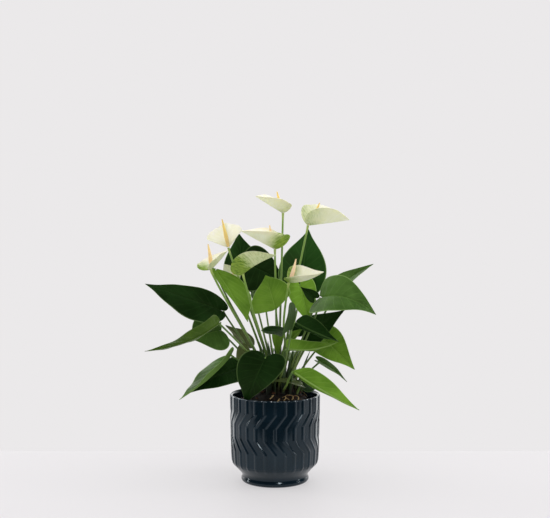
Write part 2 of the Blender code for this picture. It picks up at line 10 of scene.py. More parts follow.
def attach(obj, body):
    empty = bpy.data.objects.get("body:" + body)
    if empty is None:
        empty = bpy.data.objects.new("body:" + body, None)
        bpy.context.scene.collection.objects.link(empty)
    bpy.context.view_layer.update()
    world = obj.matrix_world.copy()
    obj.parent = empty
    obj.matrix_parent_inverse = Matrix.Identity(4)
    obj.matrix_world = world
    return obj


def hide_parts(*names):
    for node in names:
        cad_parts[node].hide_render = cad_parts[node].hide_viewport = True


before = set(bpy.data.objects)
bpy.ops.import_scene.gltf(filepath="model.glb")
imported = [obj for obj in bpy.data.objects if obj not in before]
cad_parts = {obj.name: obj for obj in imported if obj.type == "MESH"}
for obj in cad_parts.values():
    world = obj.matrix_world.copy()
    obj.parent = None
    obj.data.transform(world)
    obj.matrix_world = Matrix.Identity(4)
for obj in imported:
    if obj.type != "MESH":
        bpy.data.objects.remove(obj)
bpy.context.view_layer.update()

mm = 0.001


# ---- camera, first ----
cameraSet = {  # place in metres, tilt down in degrees; only the ratio of focal to width counts
    "place": (0, -1.6, 0.411), "tilt": 2.87, "focal": 1081, "width": 550, "sensor": 36,
}

cameraData = bpy.data.cameras.new("camera")
cameraData.sensor_width = cameraSet["sensor"]
cameraData.lens = cameraData.sensor_width * cameraSet["focal"] / cameraSet["width"]
camera = bpy.data.objects.new("camera", cameraData)
camera.location = cameraSet["place"]
camera.rotation_euler = (radians(90 - cameraSet["tilt"]), 0, 0)
bpy.context.scene.collection.objects.link(camera)
bpy.context.scene.camera = camera
bpy.context.scene.view_settings.view_transform = "Standard"
print("camera set")


# ---- shader helpers ----
def plug(tree, target, value):
    if isinstance(value, Wire):
        tree.links.new(value.socket, target)
    else:
        target.default_value = value


class Wire:  # a shader value that can be used in sums; each sum adds its Math node
    def __init__(self, tree, socket):
        self.tree = tree
        self.socket = socket

    def maths(self, operation, *values):
        node = self.tree.nodes.new("ShaderNodeMath")
        node.operation = operation
        for target, value in zip(node.inputs, values):
            plug(self.tree, target, value)
        return Wire(self.tree, node.outputs[0])

    def __add__(self, other):
        return self.maths("ADD", self, other)

    def __radd__(self, other):
        return self.maths("ADD", other, self)

    def __sub__(self, other):
        return self.maths("SUBTRACT", self, other)

    def __rsub__(self, other):
        return self.maths("SUBTRACT", other, self)

    def __mul__(self, other):
        return self.maths("MULTIPLY", self, other)

    def __rmul__(self, other):
        return self.maths("MULTIPLY", other, self)

    def __truediv__(self, other):
        return self.maths("DIVIDE", self, other)

    def __rtruediv__(self, other):
        return self.maths("DIVIDE", other, self)

    def __pow__(self, other):
        return self.maths("POWER", self, other)

    def __abs__(self):
        return self.maths("ABSOLUTE", self)

    def fraction(self):
        return self.maths("FRACT", self)

    def clamped(self):
        return self.maths("MINIMUM", self.maths("MAXIMUM", self, 0.0), 1.0)

    def ramp(self, low, high):  # 0 at low, 1 at high, smooth between
        share = ((self - low) / (high - low)).clamped()
        return share * share * (3.0 - 2.0 * share)


class Finish:  # one material: fixed socket values, then nodes for what changes over the surface
    def __init__(self, name, fixed):
        self.material = bpy.data.materials.new(name)
        self.material.use_nodes = True
        self.tree = self.material.node_tree
        self.shader = self.tree.nodes["Principled BSDF"]
        for socket, value in fixed.items():
            self.shader.inputs[socket].default_value = value

    def node(self, kind, settings=None, inputs=None, output=0):
        made = self.tree.nodes.new("ShaderNode" + kind)
        for key, value in (settings or {}).items():
            setattr(made, key, value)
        for key, value in (inputs or {}).items():
            plug(self.tree, made.inputs[key], value)
        return Wire(self.tree, made.outputs[output])

    def coords(self, output="Object"):
        return self.node("TexCoord", output=output)

    def parts(self, vector):
        split = self.node("SeparateXYZ", inputs={"Vector": vector})
        return [Wire(self.tree, split.socket.node.outputs[axis]) for axis in "XYZ"]

    def attribute(self, name):
        return self.node("Attribute", {"attribute_name": name}, output="Fac")

    def noise(self, vector, scale, detail=3.0, rough=0.55):
        inputs = {"Vector": vector, "Scale": scale, "Detail": detail, "Roughness": rough}
        return self.node("TexNoise", inputs=inputs)

    def mix(self, factor, first, second):
        values = [value if isinstance(value, Wire) else (*value, 1) for value in (first, second)]
        inputs = {0: factor, 6: values[0], 7: values[1]}
        return self.node("Mix", {"data_type": "RGBA"}, inputs, output=2)

    def scaled(self, colour, factor):
        return self.node("VectorMath", {"operation": "SCALE"}, {"Vector": colour, "Scale": factor})

    def stretched(self, vector, scale):
        return self.node("Mapping", inputs={"Vector": vector, "Scale": scale})

    def bump(self, height, distance, strength=1.0):
        inputs = {"Height": height, "Distance": distance, "Strength": strength}
        return self.node("Bump", inputs=inputs, output="Normal")

    def wear(self, **sockets):
        for name, value in sockets.items():
            plug(self.tree, self.shader.inputs[socketNames[name]], value)
        return self.material


socketNames = {"colour": "Base Color", "rough": "Roughness", "normal": "Normal"}


# ---- mesh helpers ----
def unit(vector):
    vector = np.asarray(vector, float)
    return vector / np.linalg.norm(vector)


def across(vector, axis):  # the part of a vector at right angles to an axis
    vector = np.asarray(vector, float)
    return unit(vector - np.dot(vector, axis) * axis)


def smoothCurve(points, fractions):  # Catmull-Rom curve, read at fractions of its chord length
    points = np.array(points, float)
    padded = np.vstack([2 * points[0] - points[1], points, 2 * points[-1] - points[-2]])
    reach = np.concatenate([[0.0], np.cumsum(np.linalg.norm(np.diff(points, axis=0), axis=1))])
    reach /= reach[-1]
    result = []
    for fraction in fractions:
        span = int(np.clip(np.searchsorted(reach, fraction, side="right") - 1, 0, len(points) - 2))
        t = (fraction - reach[span]) / (reach[span + 1] - reach[span])
        a, b, c, d = padded[span:span + 4]
        bend = (2 * a - 5 * b + 4 * c - d) * t * t + (3 * b - a - 3 * c + d) * t ** 3
        result.append(0.5 * (2 * b + (c - a) * t + bend))
    return np.array(result)


def bentGrid(bm, columns, rows, place):
    # a flat grid moved to where place(across, along) says, each from 0 to 1,
    # with those two as its UV map
    made = bmesh.ops.create_grid(bm, x_segments=columns, y_segments=rows, size=0.5)["verts"]
    flat = np.array([vert.co for vert in made]) + 0.5
    mapped = {vert: (share[0], share[1]) for vert, share in zip(made, flat)}
    uvLayer = bm.loops.layers.uv.verify()
    for face in {face for vert in made for face in vert.link_faces}:
        for loop in face.loops:
            loop[uvLayer].uv = mapped[loop.vert]
    for vert, spot in zip(made, place(flat[:, 0], flat[:, 1])):
        vert.co = np.asarray(spot) * mm
    return made


def closeTube(bm, verts):  # weld a bent grid's seam and cap its two ends
    bmesh.ops.remove_doubles(bm, verts=verts, dist=1e-7)
    verts = [vert for vert in verts if vert.is_valid]
    edges = {edge for vert in verts for edge in vert.link_edges if edge.is_boundary}
    bmesh.ops.holes_fill(bm, edges=list(edges), sides=0)
    return verts


def tubeAlong(bm, centres, radii, sides=10, bumps=None):
    # a closed tube through the centres, its rings turned with the path
    centres = np.array(centres, float)
    headings = [unit(heading) for heading in np.gradient(centres, axis=0)]
    crown = across((1.0, 0.3, 0.1), headings[0])
    crowns = []
    for heading in headings:
        crown = across(crown, heading)
        crowns.append(crown)
    crowns = np.array(crowns)
    flanks = np.cross(headings, crowns)
    radii = np.asarray(radii, float)

    def place(around, along):
        ring = np.rint(along * (len(centres) - 1)).astype(int)
        angle = np.round(around, 6) % 1 * 2 * pi
        radius = radii[ring] + (bumps(angle, along) if bumps else 0)
        out = np.cos(angle)[:, None] * crowns[ring] + np.sin(angle)[:, None] * flanks[ring]
        return centres[ring] + out * radius[:, None]

    return closeTube(bm, bentGrid(bm, sides, len(centres) - 1, place))


def spinLine(bm, line, steps, weld):  # turn a line of vertices round the upright axis and weld its poles
    edges = [bm.edges.new(ends) for ends in zip(line, line[1:])]
    bmesh.ops.spin(bm, geom=line + edges, cent=(0, 0, 0), axis=(0, 0, 1), angle=2 * pi, steps=steps,
                   use_merge=True)
    bmesh.ops.remove_doubles(bm, verts=bm.verts, dist=weld)


def vertLayers(bm, *names):  # values kept for each vertex, which the finishes read by name
    return [bm.verts.layers.float.new(name) for name in names]


def placeMesh(name, bm, paints):
    mesh = bpy.data.meshes.new(name)
    bm.to_mesh(mesh)
    bm.free()
    for paint in paints:
        mesh.materials.append(paint)
    piece = bpy.data.objects.new(name, mesh)
    bpy.context.scene.collection.objects.link(piece)
    return piece


def finishPiece(name, bm, paints, slot, replaced=(), sharp=60):
    bmesh.ops.recalc_face_normals(bm, faces=bm.faces)
    piece = placeMesh(name, bm, paints)
    piece.data.shade_smooth()
    piece.data.set_sharp_from_angle(angle=radians(sharp))
    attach(piece, "root")
    if replaced:
        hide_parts(*replaced)
    return piece


# ---- pot ----
potShape = {
    "ribs": 28, "columnsPerRib": 18, "ribHeight": 1.25, "ribFade": (22, 31),
    "crestHalf": 0.05, "flankEnd": 0.22,    # shares of a rib's pitch
    "zigzag": ((0, 0), (51, 0), (70.5, -1), (90, -1), (109, 0), (130, 0)),
    "outside": (    # radius and height, from the underside up
        (44, 0.6), (47, 0), (49.5, 1.6), (50.4, 4.5), (49.7, 7), (49, 9), (49.2, 10.6), (51.2, 14.2),
        (54.6, 18), (58.3, 22), (61.8, 25.6), (63.6, 28.4), (64.7, 32), (65.8, 51), (66.2, 70.5),
        (66.6, 90), (66.9, 109), (67.2, 128.4)),
    "rim": ((67, 129.2), (66.5, 129.8), (65.6, 130), (64.5, 129.8), (63.5, 129.1), (62.8, 128)),
    "inside": ((62.4, 125), (61.5, 70), (60, 34), (56, 26), (46.5, 12), (43, 5), (0, 5)),
    "steps": 150, "insideSteps": 24, "weld": 1e-5,
    "ribEnd": (0, 3), "rimPlace": 1.5, "rimFade": (0.5, 1.2),    # profile points beyond the outside
}
# the rim's two pale colours are painted highlights
potColours = {
    "deep": (0.003, 0.0085, 0.0135), "main": (0.0045, 0.012, 0.019), "crest": (0.045, 0.056, 0.066),
    "worn": (0.30, 0.35, 0.39), "rimGlints": (0.72, 0.74, 0.76),
}


def ribTurn(height):  # sideways shift of the ribs, in pitches
    heights, turns = zip(*potShape["zigzag"])
    return np.interp(height, heights, turns)


def potProfile():
    # dense points from the middle of the underside, up the outside, over the rim and down to the floor
    shape = potShape
    outside = smoothCurve(shape["outside"], np.linspace(0, 1, shape["steps"]))
    inside = smoothCurve(shape["inside"][:-1], np.linspace(0, 1, shape["insideSteps"]))
    underside, floor = (0, shape["outside"][0][1]), shape["inside"][-1]
    return np.vstack([[underside], outside, shape["rim"], inside, [floor]])


def buildPot():
    shape = potShape
    bm = bmesh.new()
    ribLayer, crestLayer, rimLayer = vertLayers(bm, "rib", "crest", "rim")
    profile = potProfile()
    line = [bm.verts.new((radius, 0, height)) for radius, height in profile]
    for index, vert in enumerate(line):
        beyond = index - shape["steps"]
        growth = np.interp(profile[index][1], shape["ribFade"], (0, 1))
        vert[ribLayer] = growth * np.interp(beyond, shape["ribEnd"], (1, 0))
        # rim marks the thin band along the rim's edge that takes the painted highlights
        vert[rimLayer] = float(np.interp(abs(beyond - shape["rimPlace"]), shape["rimFade"], (1, 0)))
    spinLine(bm, line, shape["ribs"] * shape["columnsPerRib"], shape["weld"])
    pitch = 2 * pi / shape["ribs"]
    for vert in bm.verts:
        x, y, height = vert.co
        radius, angle = (x * x + y * y) ** 0.5, atan2(y, x)
        offset = abs((angle / pitch + 0.5) % 1 - 0.5)
        slope = np.clip((offset - shape["crestHalf"]) / (shape["flankEnd"] - shape["crestHalf"]), 0, 1)
        crest = 1 - slope * slope * (3 - 2 * slope)
        radius -= shape["ribHeight"] * vert[ribLayer] * (1 - crest)
        angle += ribTurn(height) * pitch * (1 if vert[ribLayer] > 0 else 0)
        vert[crestLayer] = float(crest * vert[ribLayer])
        vert.co = Vector((radius * cos(angle), radius * sin(angle), height)) * mm
    return finishPiece("ribbedPot", bm, [potPaint()], "glaze", ["cachepot"], sharp=80)


def potPaint():
    colours = potColours
    finish = Finish("potGlaze", {"IOR": 1.5, "Specular IOR Level": 0.37,
                                 "Specular Tint": (0.78, 0.92, 1.0, 1)})
    place = finish.coords()
    cloud = finish.noise(place, 30, 3)
    speck = finish.noise(place, 900, 2)
    crest = finish.attribute("crest")
    rim = finish.attribute("rim")
    thin = ((crest - 0.65) * 1.5 + (cloud - 0.5) * 0.6).clamped()
    colour = finish.mix(cloud.ramp(0.35, 0.65), colours["deep"], colours["main"])
    colour = finish.mix(thin * 0.28, colour, colours["crest"])
    # painted highlight: a pale line along the rim's edge, brighter where the rib crests reach it,
    # standing in for the rim's reflection
    worn = (rim * (0.1 + crest * 0.35 + (cloud - 0.5) * 1.2)).clamped()
    colour = finish.mix(worn, colour, colours["worn"])
    # painted highlight: small near-white glints scattered along the rim
    rimGlints = rim * finish.noise(place, 420, 2).ramp(0.6, 0.66)
    colour = finish.mix(rimGlints, colour, colours["rimGlints"])
    rough = 0.09 + cloud * 0.07 + thin * 0.05
    normal = finish.bump(finish.noise(place, 140, 2) + speck * 0.05, 0.0004, 0.1)
    return finish.wear(colour=colour, rough=rough, normal=normal)


ribbedPot = buildPot()
print("pot made")


# ---- grow pot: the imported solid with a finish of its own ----
def growPotPaint():
    finish = Finish("growPotPlastic", {"IOR": 1.46})
    place = finish.coords()
    scuffs = finish.noise(place, 220, 4)
    colour = finish.mix(scuffs.ramp(0.3, 0.8), (0.009, 0.009, 0.010), (0.03, 0.03, 0.032))
    return finish.wear(colour=colour, rough=0.42 + scuffs * 0.3, normal=finish.bump(scuffs, 0.0003, 0.3))


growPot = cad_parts["grow_pot"]
growPot.data.materials.clear()
growPot.data.materials.append(growPotPaint())


# ---- substrate: mound, bark chips, roots, sheaths and shoots ----
soilShape = {
    "top": 142, "fall": 22, "radius": 51, "edge": 51.2, "floor": 6.2, "lumps": 1.6, "segments": 96,
    "rings": 34, "inset": 1.5, "slack": 0.2, "floorRadius": 38, "shoulder": 118, "weld": 1e-4,
    "chips": 330, "chipSize": (2.2, 5.5), "chipReach": 49, "chipSpread": 0.55, "chipTilt": 0.5,
    "chipLength": 0.62, "chipWidth": 0.42, "chipHeight": (0.14, 0.3), "chipLift": (0.2, 1.6),
}


def moundHeight(reach):
    return soilShape["top"] - soilShape["fall"] * (reach / soilShape["radius"]) ** 2


def soilPaint(name, dark, light, scale):
    finish = Finish(name, {"IOR": 1.4})
    place = finish.coords()
    grain = finish.noise(finish.stretched(place, (1, 1, 2.5)), scale, 5, 0.7)
    tint = finish.attribute("tint")
    colour = finish.mix((grain.ramp(0.3, 0.75) * 0.35 + tint * 0.6).clamped(), dark, light)
    return finish.wear(colour=colour, rough=0.75 + grain * 0.2, normal=finish.bump(grain, 0.001, 0.7))


def buildMound():
    shape = soilShape
    bm = bmesh.new()
    [tintLayer] = vertLayers(bm, "tint")
    radii = np.linspace(0, shape["edge"] - shape["inset"], shape["rings"])
    points = [(0, shape["floor"]), (shape["floorRadius"], shape["floor"])]
    points += [(shape["edge"] - shape["slack"], shape["shoulder"])]
    points += [(radius, moundHeight(radius)) for radius in radii[::-1]]
    line = [bm.verts.new((radius, 0, height)) for radius, height in points]
    spinLine(bm, line, shape["segments"], shape["weld"])
    for vert in bm.verts:
        lump = noise.noise(vert.co / 7) + 0.5 * noise.noise(vert.co / 2.5)
        if vert.co.z > shape["shoulder"] + 0.5:
            vert.co.z += shape["lumps"] * lump
        vert[tintLayer] = 0.25 + 0.2 * lump
        vert.co *= mm
    paint = soilPaint("coirEarth", (0.002, 0.0012, 0.0008), (0.014, 0.007, 0.0035), 600)
    return finishPiece("barkMound", bm, [paint], "bark", ["substrate"])


def onMound(reach, angle, lift=0.0):
    return np.array([reach * cos(angle), reach * sin(angle), moundHeight(reach) + lift])


def buildChips():
    shape = soilShape
    draw = random.Random(11)
    bm = bmesh.new()
    [tintLayer] = vertLayers(bm, "tint")
    for chip in range(shape["chips"]):
        reach = shape["chipReach"] * draw.random() ** shape["chipSpread"]
        angle = 2 * pi * draw.random()
        size = draw.uniform(*shape["chipSize"])
        made = bmesh.ops.create_icosphere(bm, subdivisions=1, radius=1)["verts"]
        turn = Matrix.Rotation(2 * pi * draw.random(), 4, "Z")
        turn = turn @ Matrix.Rotation(draw.gauss(0, shape["chipTilt"]), 4, "X")
        spread = Matrix.Diagonal((size * shape["chipLength"], size * shape["chipWidth"],
                                  size * draw.uniform(*shape["chipHeight"]), 1))
        place = Matrix.Translation(onMound(reach, angle, draw.uniform(*shape["chipLift"])))
        tint = draw.random() ** 5 * 1.6
        for vert in made:
            jitter = Vector([draw.uniform(0.75, 1.2) for axis in range(3)])
            vert.co = place @ turn @ spread @ (vert.co * jitter) * mm
            vert[tintLayer] = tint
    paint = soilPaint("barkChip", (0.0025, 0.0012, 0.0007), (0.085, 0.03, 0.011), 350)
    return finishPiece("barkChips", bm, [paint], "bark", sharp=25)


rootLook = {  # each root: distance from the middle, bearing in degrees, turns and size of its curl
    "curls": ((40, -58, 0.9, 6.0), (41, -74, 0.6, 4.5), (42, -44, 0.8, 4.5), (44, -88, 0.5, 5.0),
              (38, -100, 0.6, 4.5), (43, 150, 0.7, 5.0), (40, 60, 0.8, 4.5), (44, 15, 0.6, 4.0)),
    "radius": 0.72, "rise": 4.6, "rings": 26,
}


def rootPaint():
    finish = Finish("rootSkin", {"IOR": 1.4})
    grain = finish.noise(finish.coords(), 500, 3)
    colour = finish.mix(grain.ramp(0.3, 0.7), (0.18, 0.105, 0.04), (0.45, 0.32, 0.14))
    return finish.wear(colour=colour, rough=0.6 + grain * 0.2, normal=finish.bump(grain, 0.0004, 0.4))


def buildRoots():  # pale roots that curl out of the bark
    look = rootLook
    bm = bmesh.new()
    for reach, bearing, turns, size in look["curls"]:
        share = np.linspace(0, 1, look["rings"])
        turn = radians(bearing) + 2 * pi * turns * share
        middle = onMound(reach, radians(bearing))
        rise = look["rise"] * np.sin(pi * share) - 0.6
        centres = middle + np.stack([size * np.cos(turn), size * np.sin(turn), rise], 1)
        tubeAlong(bm, centres, look["radius"] * (1.1 - 0.5 * share), 8)
    return finishPiece("curledRoots", bm, [rootPaint()], "bark")


shootLook = {  # how many, distance from the crown's middle, height, radius at the foot, outward lean
    "sheaths": (26, (6, 30), (14, 30), (1.6, 2.6), 0.45),
    "shoots": (72, (2, 33), (34, 76), (1.6, 3.2), 0.25),
}
shootMiddle = 5    # the crown's middle, to the right of the pot's


def shootPaint(name, low, high):
    finish = Finish(name, {"IOR": 1.42})
    along = finish.parts(finish.coords("UV"))[1]
    streak = finish.noise(finish.stretched(finish.coords(), (1, 1, 0.15)), 500, 3)
    colour = finish.mix((along * 0.8 + (streak - 0.5) * 0.9).clamped(), low, high)
    return finish.wear(colour=colour, rough=0.5 + streak * 0.2, normal=finish.bump(streak, 0.0004, 0.4))


def buildShoots(name, paint, slot, seed):  # pointed sheaths or young shoots crowded round the crown
    count, reaches, heights, radii, lean = shootLook[name]
    draw = random.Random(seed)
    bm = bmesh.new()
    share = np.linspace(0, 1, 16)
    for shoot in range(count):
        bearing, reach = 2 * pi * draw.random(), draw.uniform(*reaches)
        x, y = shootMiddle + reach * cos(bearing), reach * sin(bearing)
        height = draw.uniform(*heights)
        out = np.array([cos(bearing), sin(bearing), 0]) * height * lean * draw.uniform(0.3, 1.2)
        foot = np.array([x, y, moundHeight((x * x + y * y) ** 0.5) - 2])
        centres = foot + np.outer(share, (0, 0, height)) + np.outer(share ** 1.8, out)
        width = draw.uniform(*radii)
        tubeAlong(bm, centres, width * (1 - share ** 1.6) * (0.75 + 0.5 * share) + 0.12, 9)
    return finishPiece(name, bm, [paint], slot)


barkMound = buildMound()
barkChips = buildChips()
curledRoots = buildRoots()
sheathPaint = shootPaint("sheathSkin", (0.012, 0.008, 0.004), (0.055, 0.06, 0.018))
sheaths = buildShoots("sheaths", sheathPaint, "bark", 5)
youngPaint = shootPaint("shootSkin", (0.008, 0.012, 0.004), (0.055, 0.125, 0.02))
shoots = buildShoots("shoots", youngPaint, "leaf_dark", 6)
print("substrate made")


# ---- blades: leaves and spathes ----
# Right half of each flat outline, in fractions of the blade's length, from the sinus to the tip.
heartOutline = (
    (0.0, 0.0), (0.035, -0.07), (0.13, -0.15), (0.25, -0.165), (0.36, -0.10), (0.43, 0.03), (0.44, 0.19),
    (0.39, 0.37), (0.30, 0.54), (0.19, 0.70), (0.10, 0.83), (0.04, 0.93), (0.0, 1.0),
)
spatheOutline = (
    (0.0, 0.0), (0.04, -0.08), (0.14, -0.17), (0.27, -0.17), (0.38, -0.07), (0.45, 0.10), (0.45, 0.30),
    (0.39, 0.48), (0.29, 0.65), (0.17, 0.80), (0.08, 0.91), (0.03, 0.97), (0.0, 1.0),
)

# Each blade: base is the sinus where the stem joins, tip its point, face the way its upper side looks.
# arch lifts the midrib off the straight line, fold raises the two halves (one angle, or one each),
# curl bends the halves further towards the margin, skew slides each half towards the tip,
# lobes stretches the two lobes behind the sinus, lift raises them (one height, or one each),
# and halves widens or narrows each half.
def bladeAt(base, tip, face, width, arch, **more):
    return dict(more, base=base, tip=tip, face=face, width=width, arch=arch)


leafShapes = {
    "left_high": bladeAt((-76, -4, 254), (-188, -40, 297), (0.3, -0.8, 0.45), 62, 0, fold=(8, 0),
        lobes=0.35, skew=(0.05, -0.05), halves=(1.1, 0.95), tone="dark"),
    "left_edge": bladeAt((-79, -78, 244), (-183, -92, 206), (-0.32, -0.22, 0.95), 48, -9,
        fold=(14, 20), lobes=0.2, tone="bright"),
    "left_back": bladeAt((-81, 14, 223), (-149, 0, 203), (-0.1, -0.95, 0.3), 62, 3, fold=5,
        skew=(-0.35, 0.35), halves=(0.78, 1), tone="mid"),
    "left_low": bladeAt((-64, -36, 193), (-135, -90, 137), (-0.75, -0.1, 0.6), 60, -4, fold=25,
        lobes=0.2, skew=(-0.1, 0.45), halves=(0.6, 1), tone="mid"),
    "left_under": bladeAt((-54, -20, 173), (-131, -60, 139), (-0.25, -0.8, 0.6), 48, 4, fold=6,
        halves=(1.15, 0.85), lobes=0.6, tone="dark"),
    "inner_high": bladeAt((-41, 34, 195), (-76, 50, 227), (0.5, 0.9, 0.5), 36, 3, tone="olive"),
    "inner_low": bladeAt((-39, -7, 195), (-58, -11, 168), (0.5, 0.8, 0.5), 34, 3, tone="olive"),
    "front": bladeAt((-14, -57, 192), (-43, -37, 122), (-0.05, -0.95, 0.25), 68, 5, fold=8,
        lobes=0.7, skew=(-0.3, 0.3), halves=(0.92, 0.97), tone="dark"),
    "mid_left": bladeAt((-88, -20, 318), (-39, -46, 242), (0.35, -0.85, 0.3), 44, 4, fold=(4, 10),
        lobes=0.2, skew=(0.9, 0), halves=(1.14, 0.42), tone="bright"),
    "mid_center": bladeAt((1, -30, 258), (-14, 0, 307), (0, -0.95, 0.3), 62, 3, fold=6,
        skew=(-0.35, 0.35), lobes=0.4, halves=(1.1, 0.9), tone="bright"),
    "back_tip": bladeAt((-46, 100, 280), (-58, 106, 368), (0, -0.98, 0.1), 64, 4, tone="dark"),
    "back_left": bladeAt((-44, 76, 319), (18, 68, 289), (0, -0.9, 0.4), 98, 5, halves=(0.68, 1),
        tone="dark"),
    "back_right": bladeAt((39, 50, 279), (52, 70, 373), (-0.1, -0.98, 0.1), 74, 5, tone="dark"),
    "right_big": bladeAt((64, -62, 279), (143, -80, 256), (0.1, -0.75, 0.66), 76, 18, fold=(8, 14),
        curl=-6, lobes=0.2, tone="mid"),
    "right_curl": bladeAt((58, -38, 276), (37, -34, 292), (0.3, -0.9, -0.2), 18, 1,
        come=(0.1, 0.35, 0.9), tone="dark"),
    "right_far": bladeAt((91, -5, 290), (147, 12, 323), (-0.3, -0.5, 0.8), 34, 2, tone="mid"),
    "pale": bladeAt((37, 4, 293), (52, 0, 231), (0, -0.9, 0.4), 44, 3, tone="bright"),
    "vee": bladeAt((23, -84, 236), (9, -122, 230), (0.05, -0.35, 1), 76, 3, fold=(82, -26),
        lobes=0.8, halves=(1, 1.12), lift=(0, 16), skew=(0.3, 0), curl=24, tone="dark"),
    "right_dark": bladeAt((29, -58, 243), (89, -96, 220), (0.15, -0.8, 0.55), 54, -3,
        come=(0.3, -0.9, 0.25), lobes=0.15, fold=(10, -95), halves=(0.72, 0.4), skew=(0.2, 0),
        tone="dark"),
    "right_shade": bladeAt((42, -9, 217), (102, -29, 258), (0.1, -0.95, 0.25), 46, 2, tone="dark"),
    "right_long": bladeAt((17, -55, 204), (89, -82, 218), (0, -0.85, 0.5), 48, -14, lobes=0.1,
        fold=(0, -100), halves=(0.68, 0.35), tone="bright"),
    "right_green": bladeAt((71, 6, 212), (117, -28, 170), (-0.2, -0.85, 0.5), 50, 5, tone="bright"),
    "right_small": bladeAt((67, 4, 178), (108, 10, 146), (0.4, -0.5, 0.75), 18, 3, tone="mid"),
    "right_front": bladeAt((25, -74, 175), (115, -136, 131), (0.3, -0.8, 0.5), 43, -4,
        fold=(8, -100), lobes=0.1, halves=(1, 0.45), skew=(0.35, 0), tone="bright"),
    "right_rear": bladeAt((43, 14, 140), (68, 44, 138), (0, -0.9, 0.4), 26, 2, tone="dark"),
    "mid_small": bladeAt((4, -27, 224), (4, -31, 189), (0, -1, 0.1), 17, 1, tone="bright"),
    "low_small": bladeAt((37, -21, 147), (-5, -45, 156), (0, -0.5, 0.9), 18, 3, tone="olive"),
    "curl_small": bladeAt((24, -24, 216), (41, -18, 230), (0, -0.6, 0.8), 14, 1, tone="bright"),
    "rear_high": bladeAt((-16, 112, 268), (-8, 152, 328), (0.1, 0.9, -0.2), 48, 5, tone="dark"),
    "rear_low_left": bladeAt((-36, 66, 170), (-68, 132, 142), (-0.2, 0.5, 0.8), 52, 8, tone="dark"),
    "rear_low_right": bladeAt((18, 66, 182), (30, 142, 148), (0.1, 0.5, 0.8), 50, 8, tone="mid"),
}

# Each flower's spathe follows the same rules, and spadix is the spadix's free end.
flowerShapes = {
    "flower_1": bladeAt((-69, 0, 348), (-75, 36, 384), (-0.2, -0.6, 0.75), 66, -2, fold=(36, 40),
        lobes=0.3, lift=12, spadix=(-78, -8, 390)),
    "flower_2": bladeAt((-92, -50, 319), (-69, -24, 345), (-0.5, -0.2, 0.8), 50, -1, fold=(30, 30),
        lobes=1.4, lift=4, spadix=(-96, -52, 355)),
    "flower_3": bladeAt((12, 30, 399), (-29, 10, 424), (-0.3, -0.1, 0.9), 46, 0, fold=(30, 45),
        lobes=1.2, lift=8, spadix=(3, 32, 431)),
    "flower_4": bladeAt((49, 4, 381), (110, -2, 389), (-0.15, -0.05, 0.95), 64, 0, fold=(62, 34),
        lift=(10, 0), lobes=0.8, spadix=(66, -1, 414)),
    "flower_5": bladeAt((0, -5, 346), (-50, -14, 373), (-0.2, -0.05, 0.9), 60, 0, fold=(35, 46),
        lobes=1.05, lift=(20, 12), curl=14, spadix=(-8, -2, 381)),
    "flower_6": bladeAt((-46, -50, 312), (2, -56, 339), (0.1, 0.1, 0.9), 58, 3, fold=(40, 45),
        spadix=(-40, -30, 342)),
    "flower_7": bladeAt((20, -64, 301), (69, -80, 317), (0, -0.1, 0.95), 50, -4, fold=(54, 29),
        lift=(6, 3), lobes=0.5, halves=(1.05, 0.85), spadix=(30, -62, 334)),
    "flower_8": bladeAt((-62, 17, 300), (-76, 8, 323), (-0.2, 0.6, 0.6), 26, 1, fold=20,
        spadix=(-66, 20, 319)),
}


# Small changes to the dressed blades alone; the stems settle round the solids' own shapes.
finerShapes = {
    "left_high": dict(halves=(1.05, 0.76), skew=(0.5, 0.35), lobes=0.65),
    "mid_center": dict(skew=(0.05, 0.7), lobes=0.05),
    "back_tip": dict(skew=0.4),
    "back_right": dict(skew=0.4),
    "left_back": dict(tip=(-127, 0, 212), halves=(1.0, 0.9), skew=(0.0, 0.9)),
    "flower_3": dict(fold=(30, 50), skew=(0.1, 0.25), lobes=0.5),
    "flower_4": dict(fold=(62, 50), skew=(0, 0.5)),
}


stemRules = {  # the same rules as the solids follow, so that stems and blades lie where those do
    "crown": (5.0, 0.0), "crownReach": 36.0, "crownLimit": 40.0, "points": 22, "lean": 0.35,
    "pulls": (0.42, 0.28), "spacing": 5.8, "bladeSpacing": 5.6, "steps": 150, "push": 0.7,
    "pushLimit": 1.5, "secondPoint": (0.5, 0.375, 0.125), "lift": 0.15, "flat": 0.3, "ease": 0.5,
    "freedom": (0.6, 0.25, 0.0), "clearance": 2.2, "footRadius": 2.1, "gap": 0.3, "jointDepth": 3.55,
    "arrival": (0.75, 0.35, 0.6), "archPlace": 0.45, "midribRows": (0.035, 0.985, 1.35),
    "lobeRise": (0.12, 0.29, 1.2, 0.8),
}


def pair(value):  # one value for both halves, or one each
    return value if isinstance(value, tuple) else (value, value)


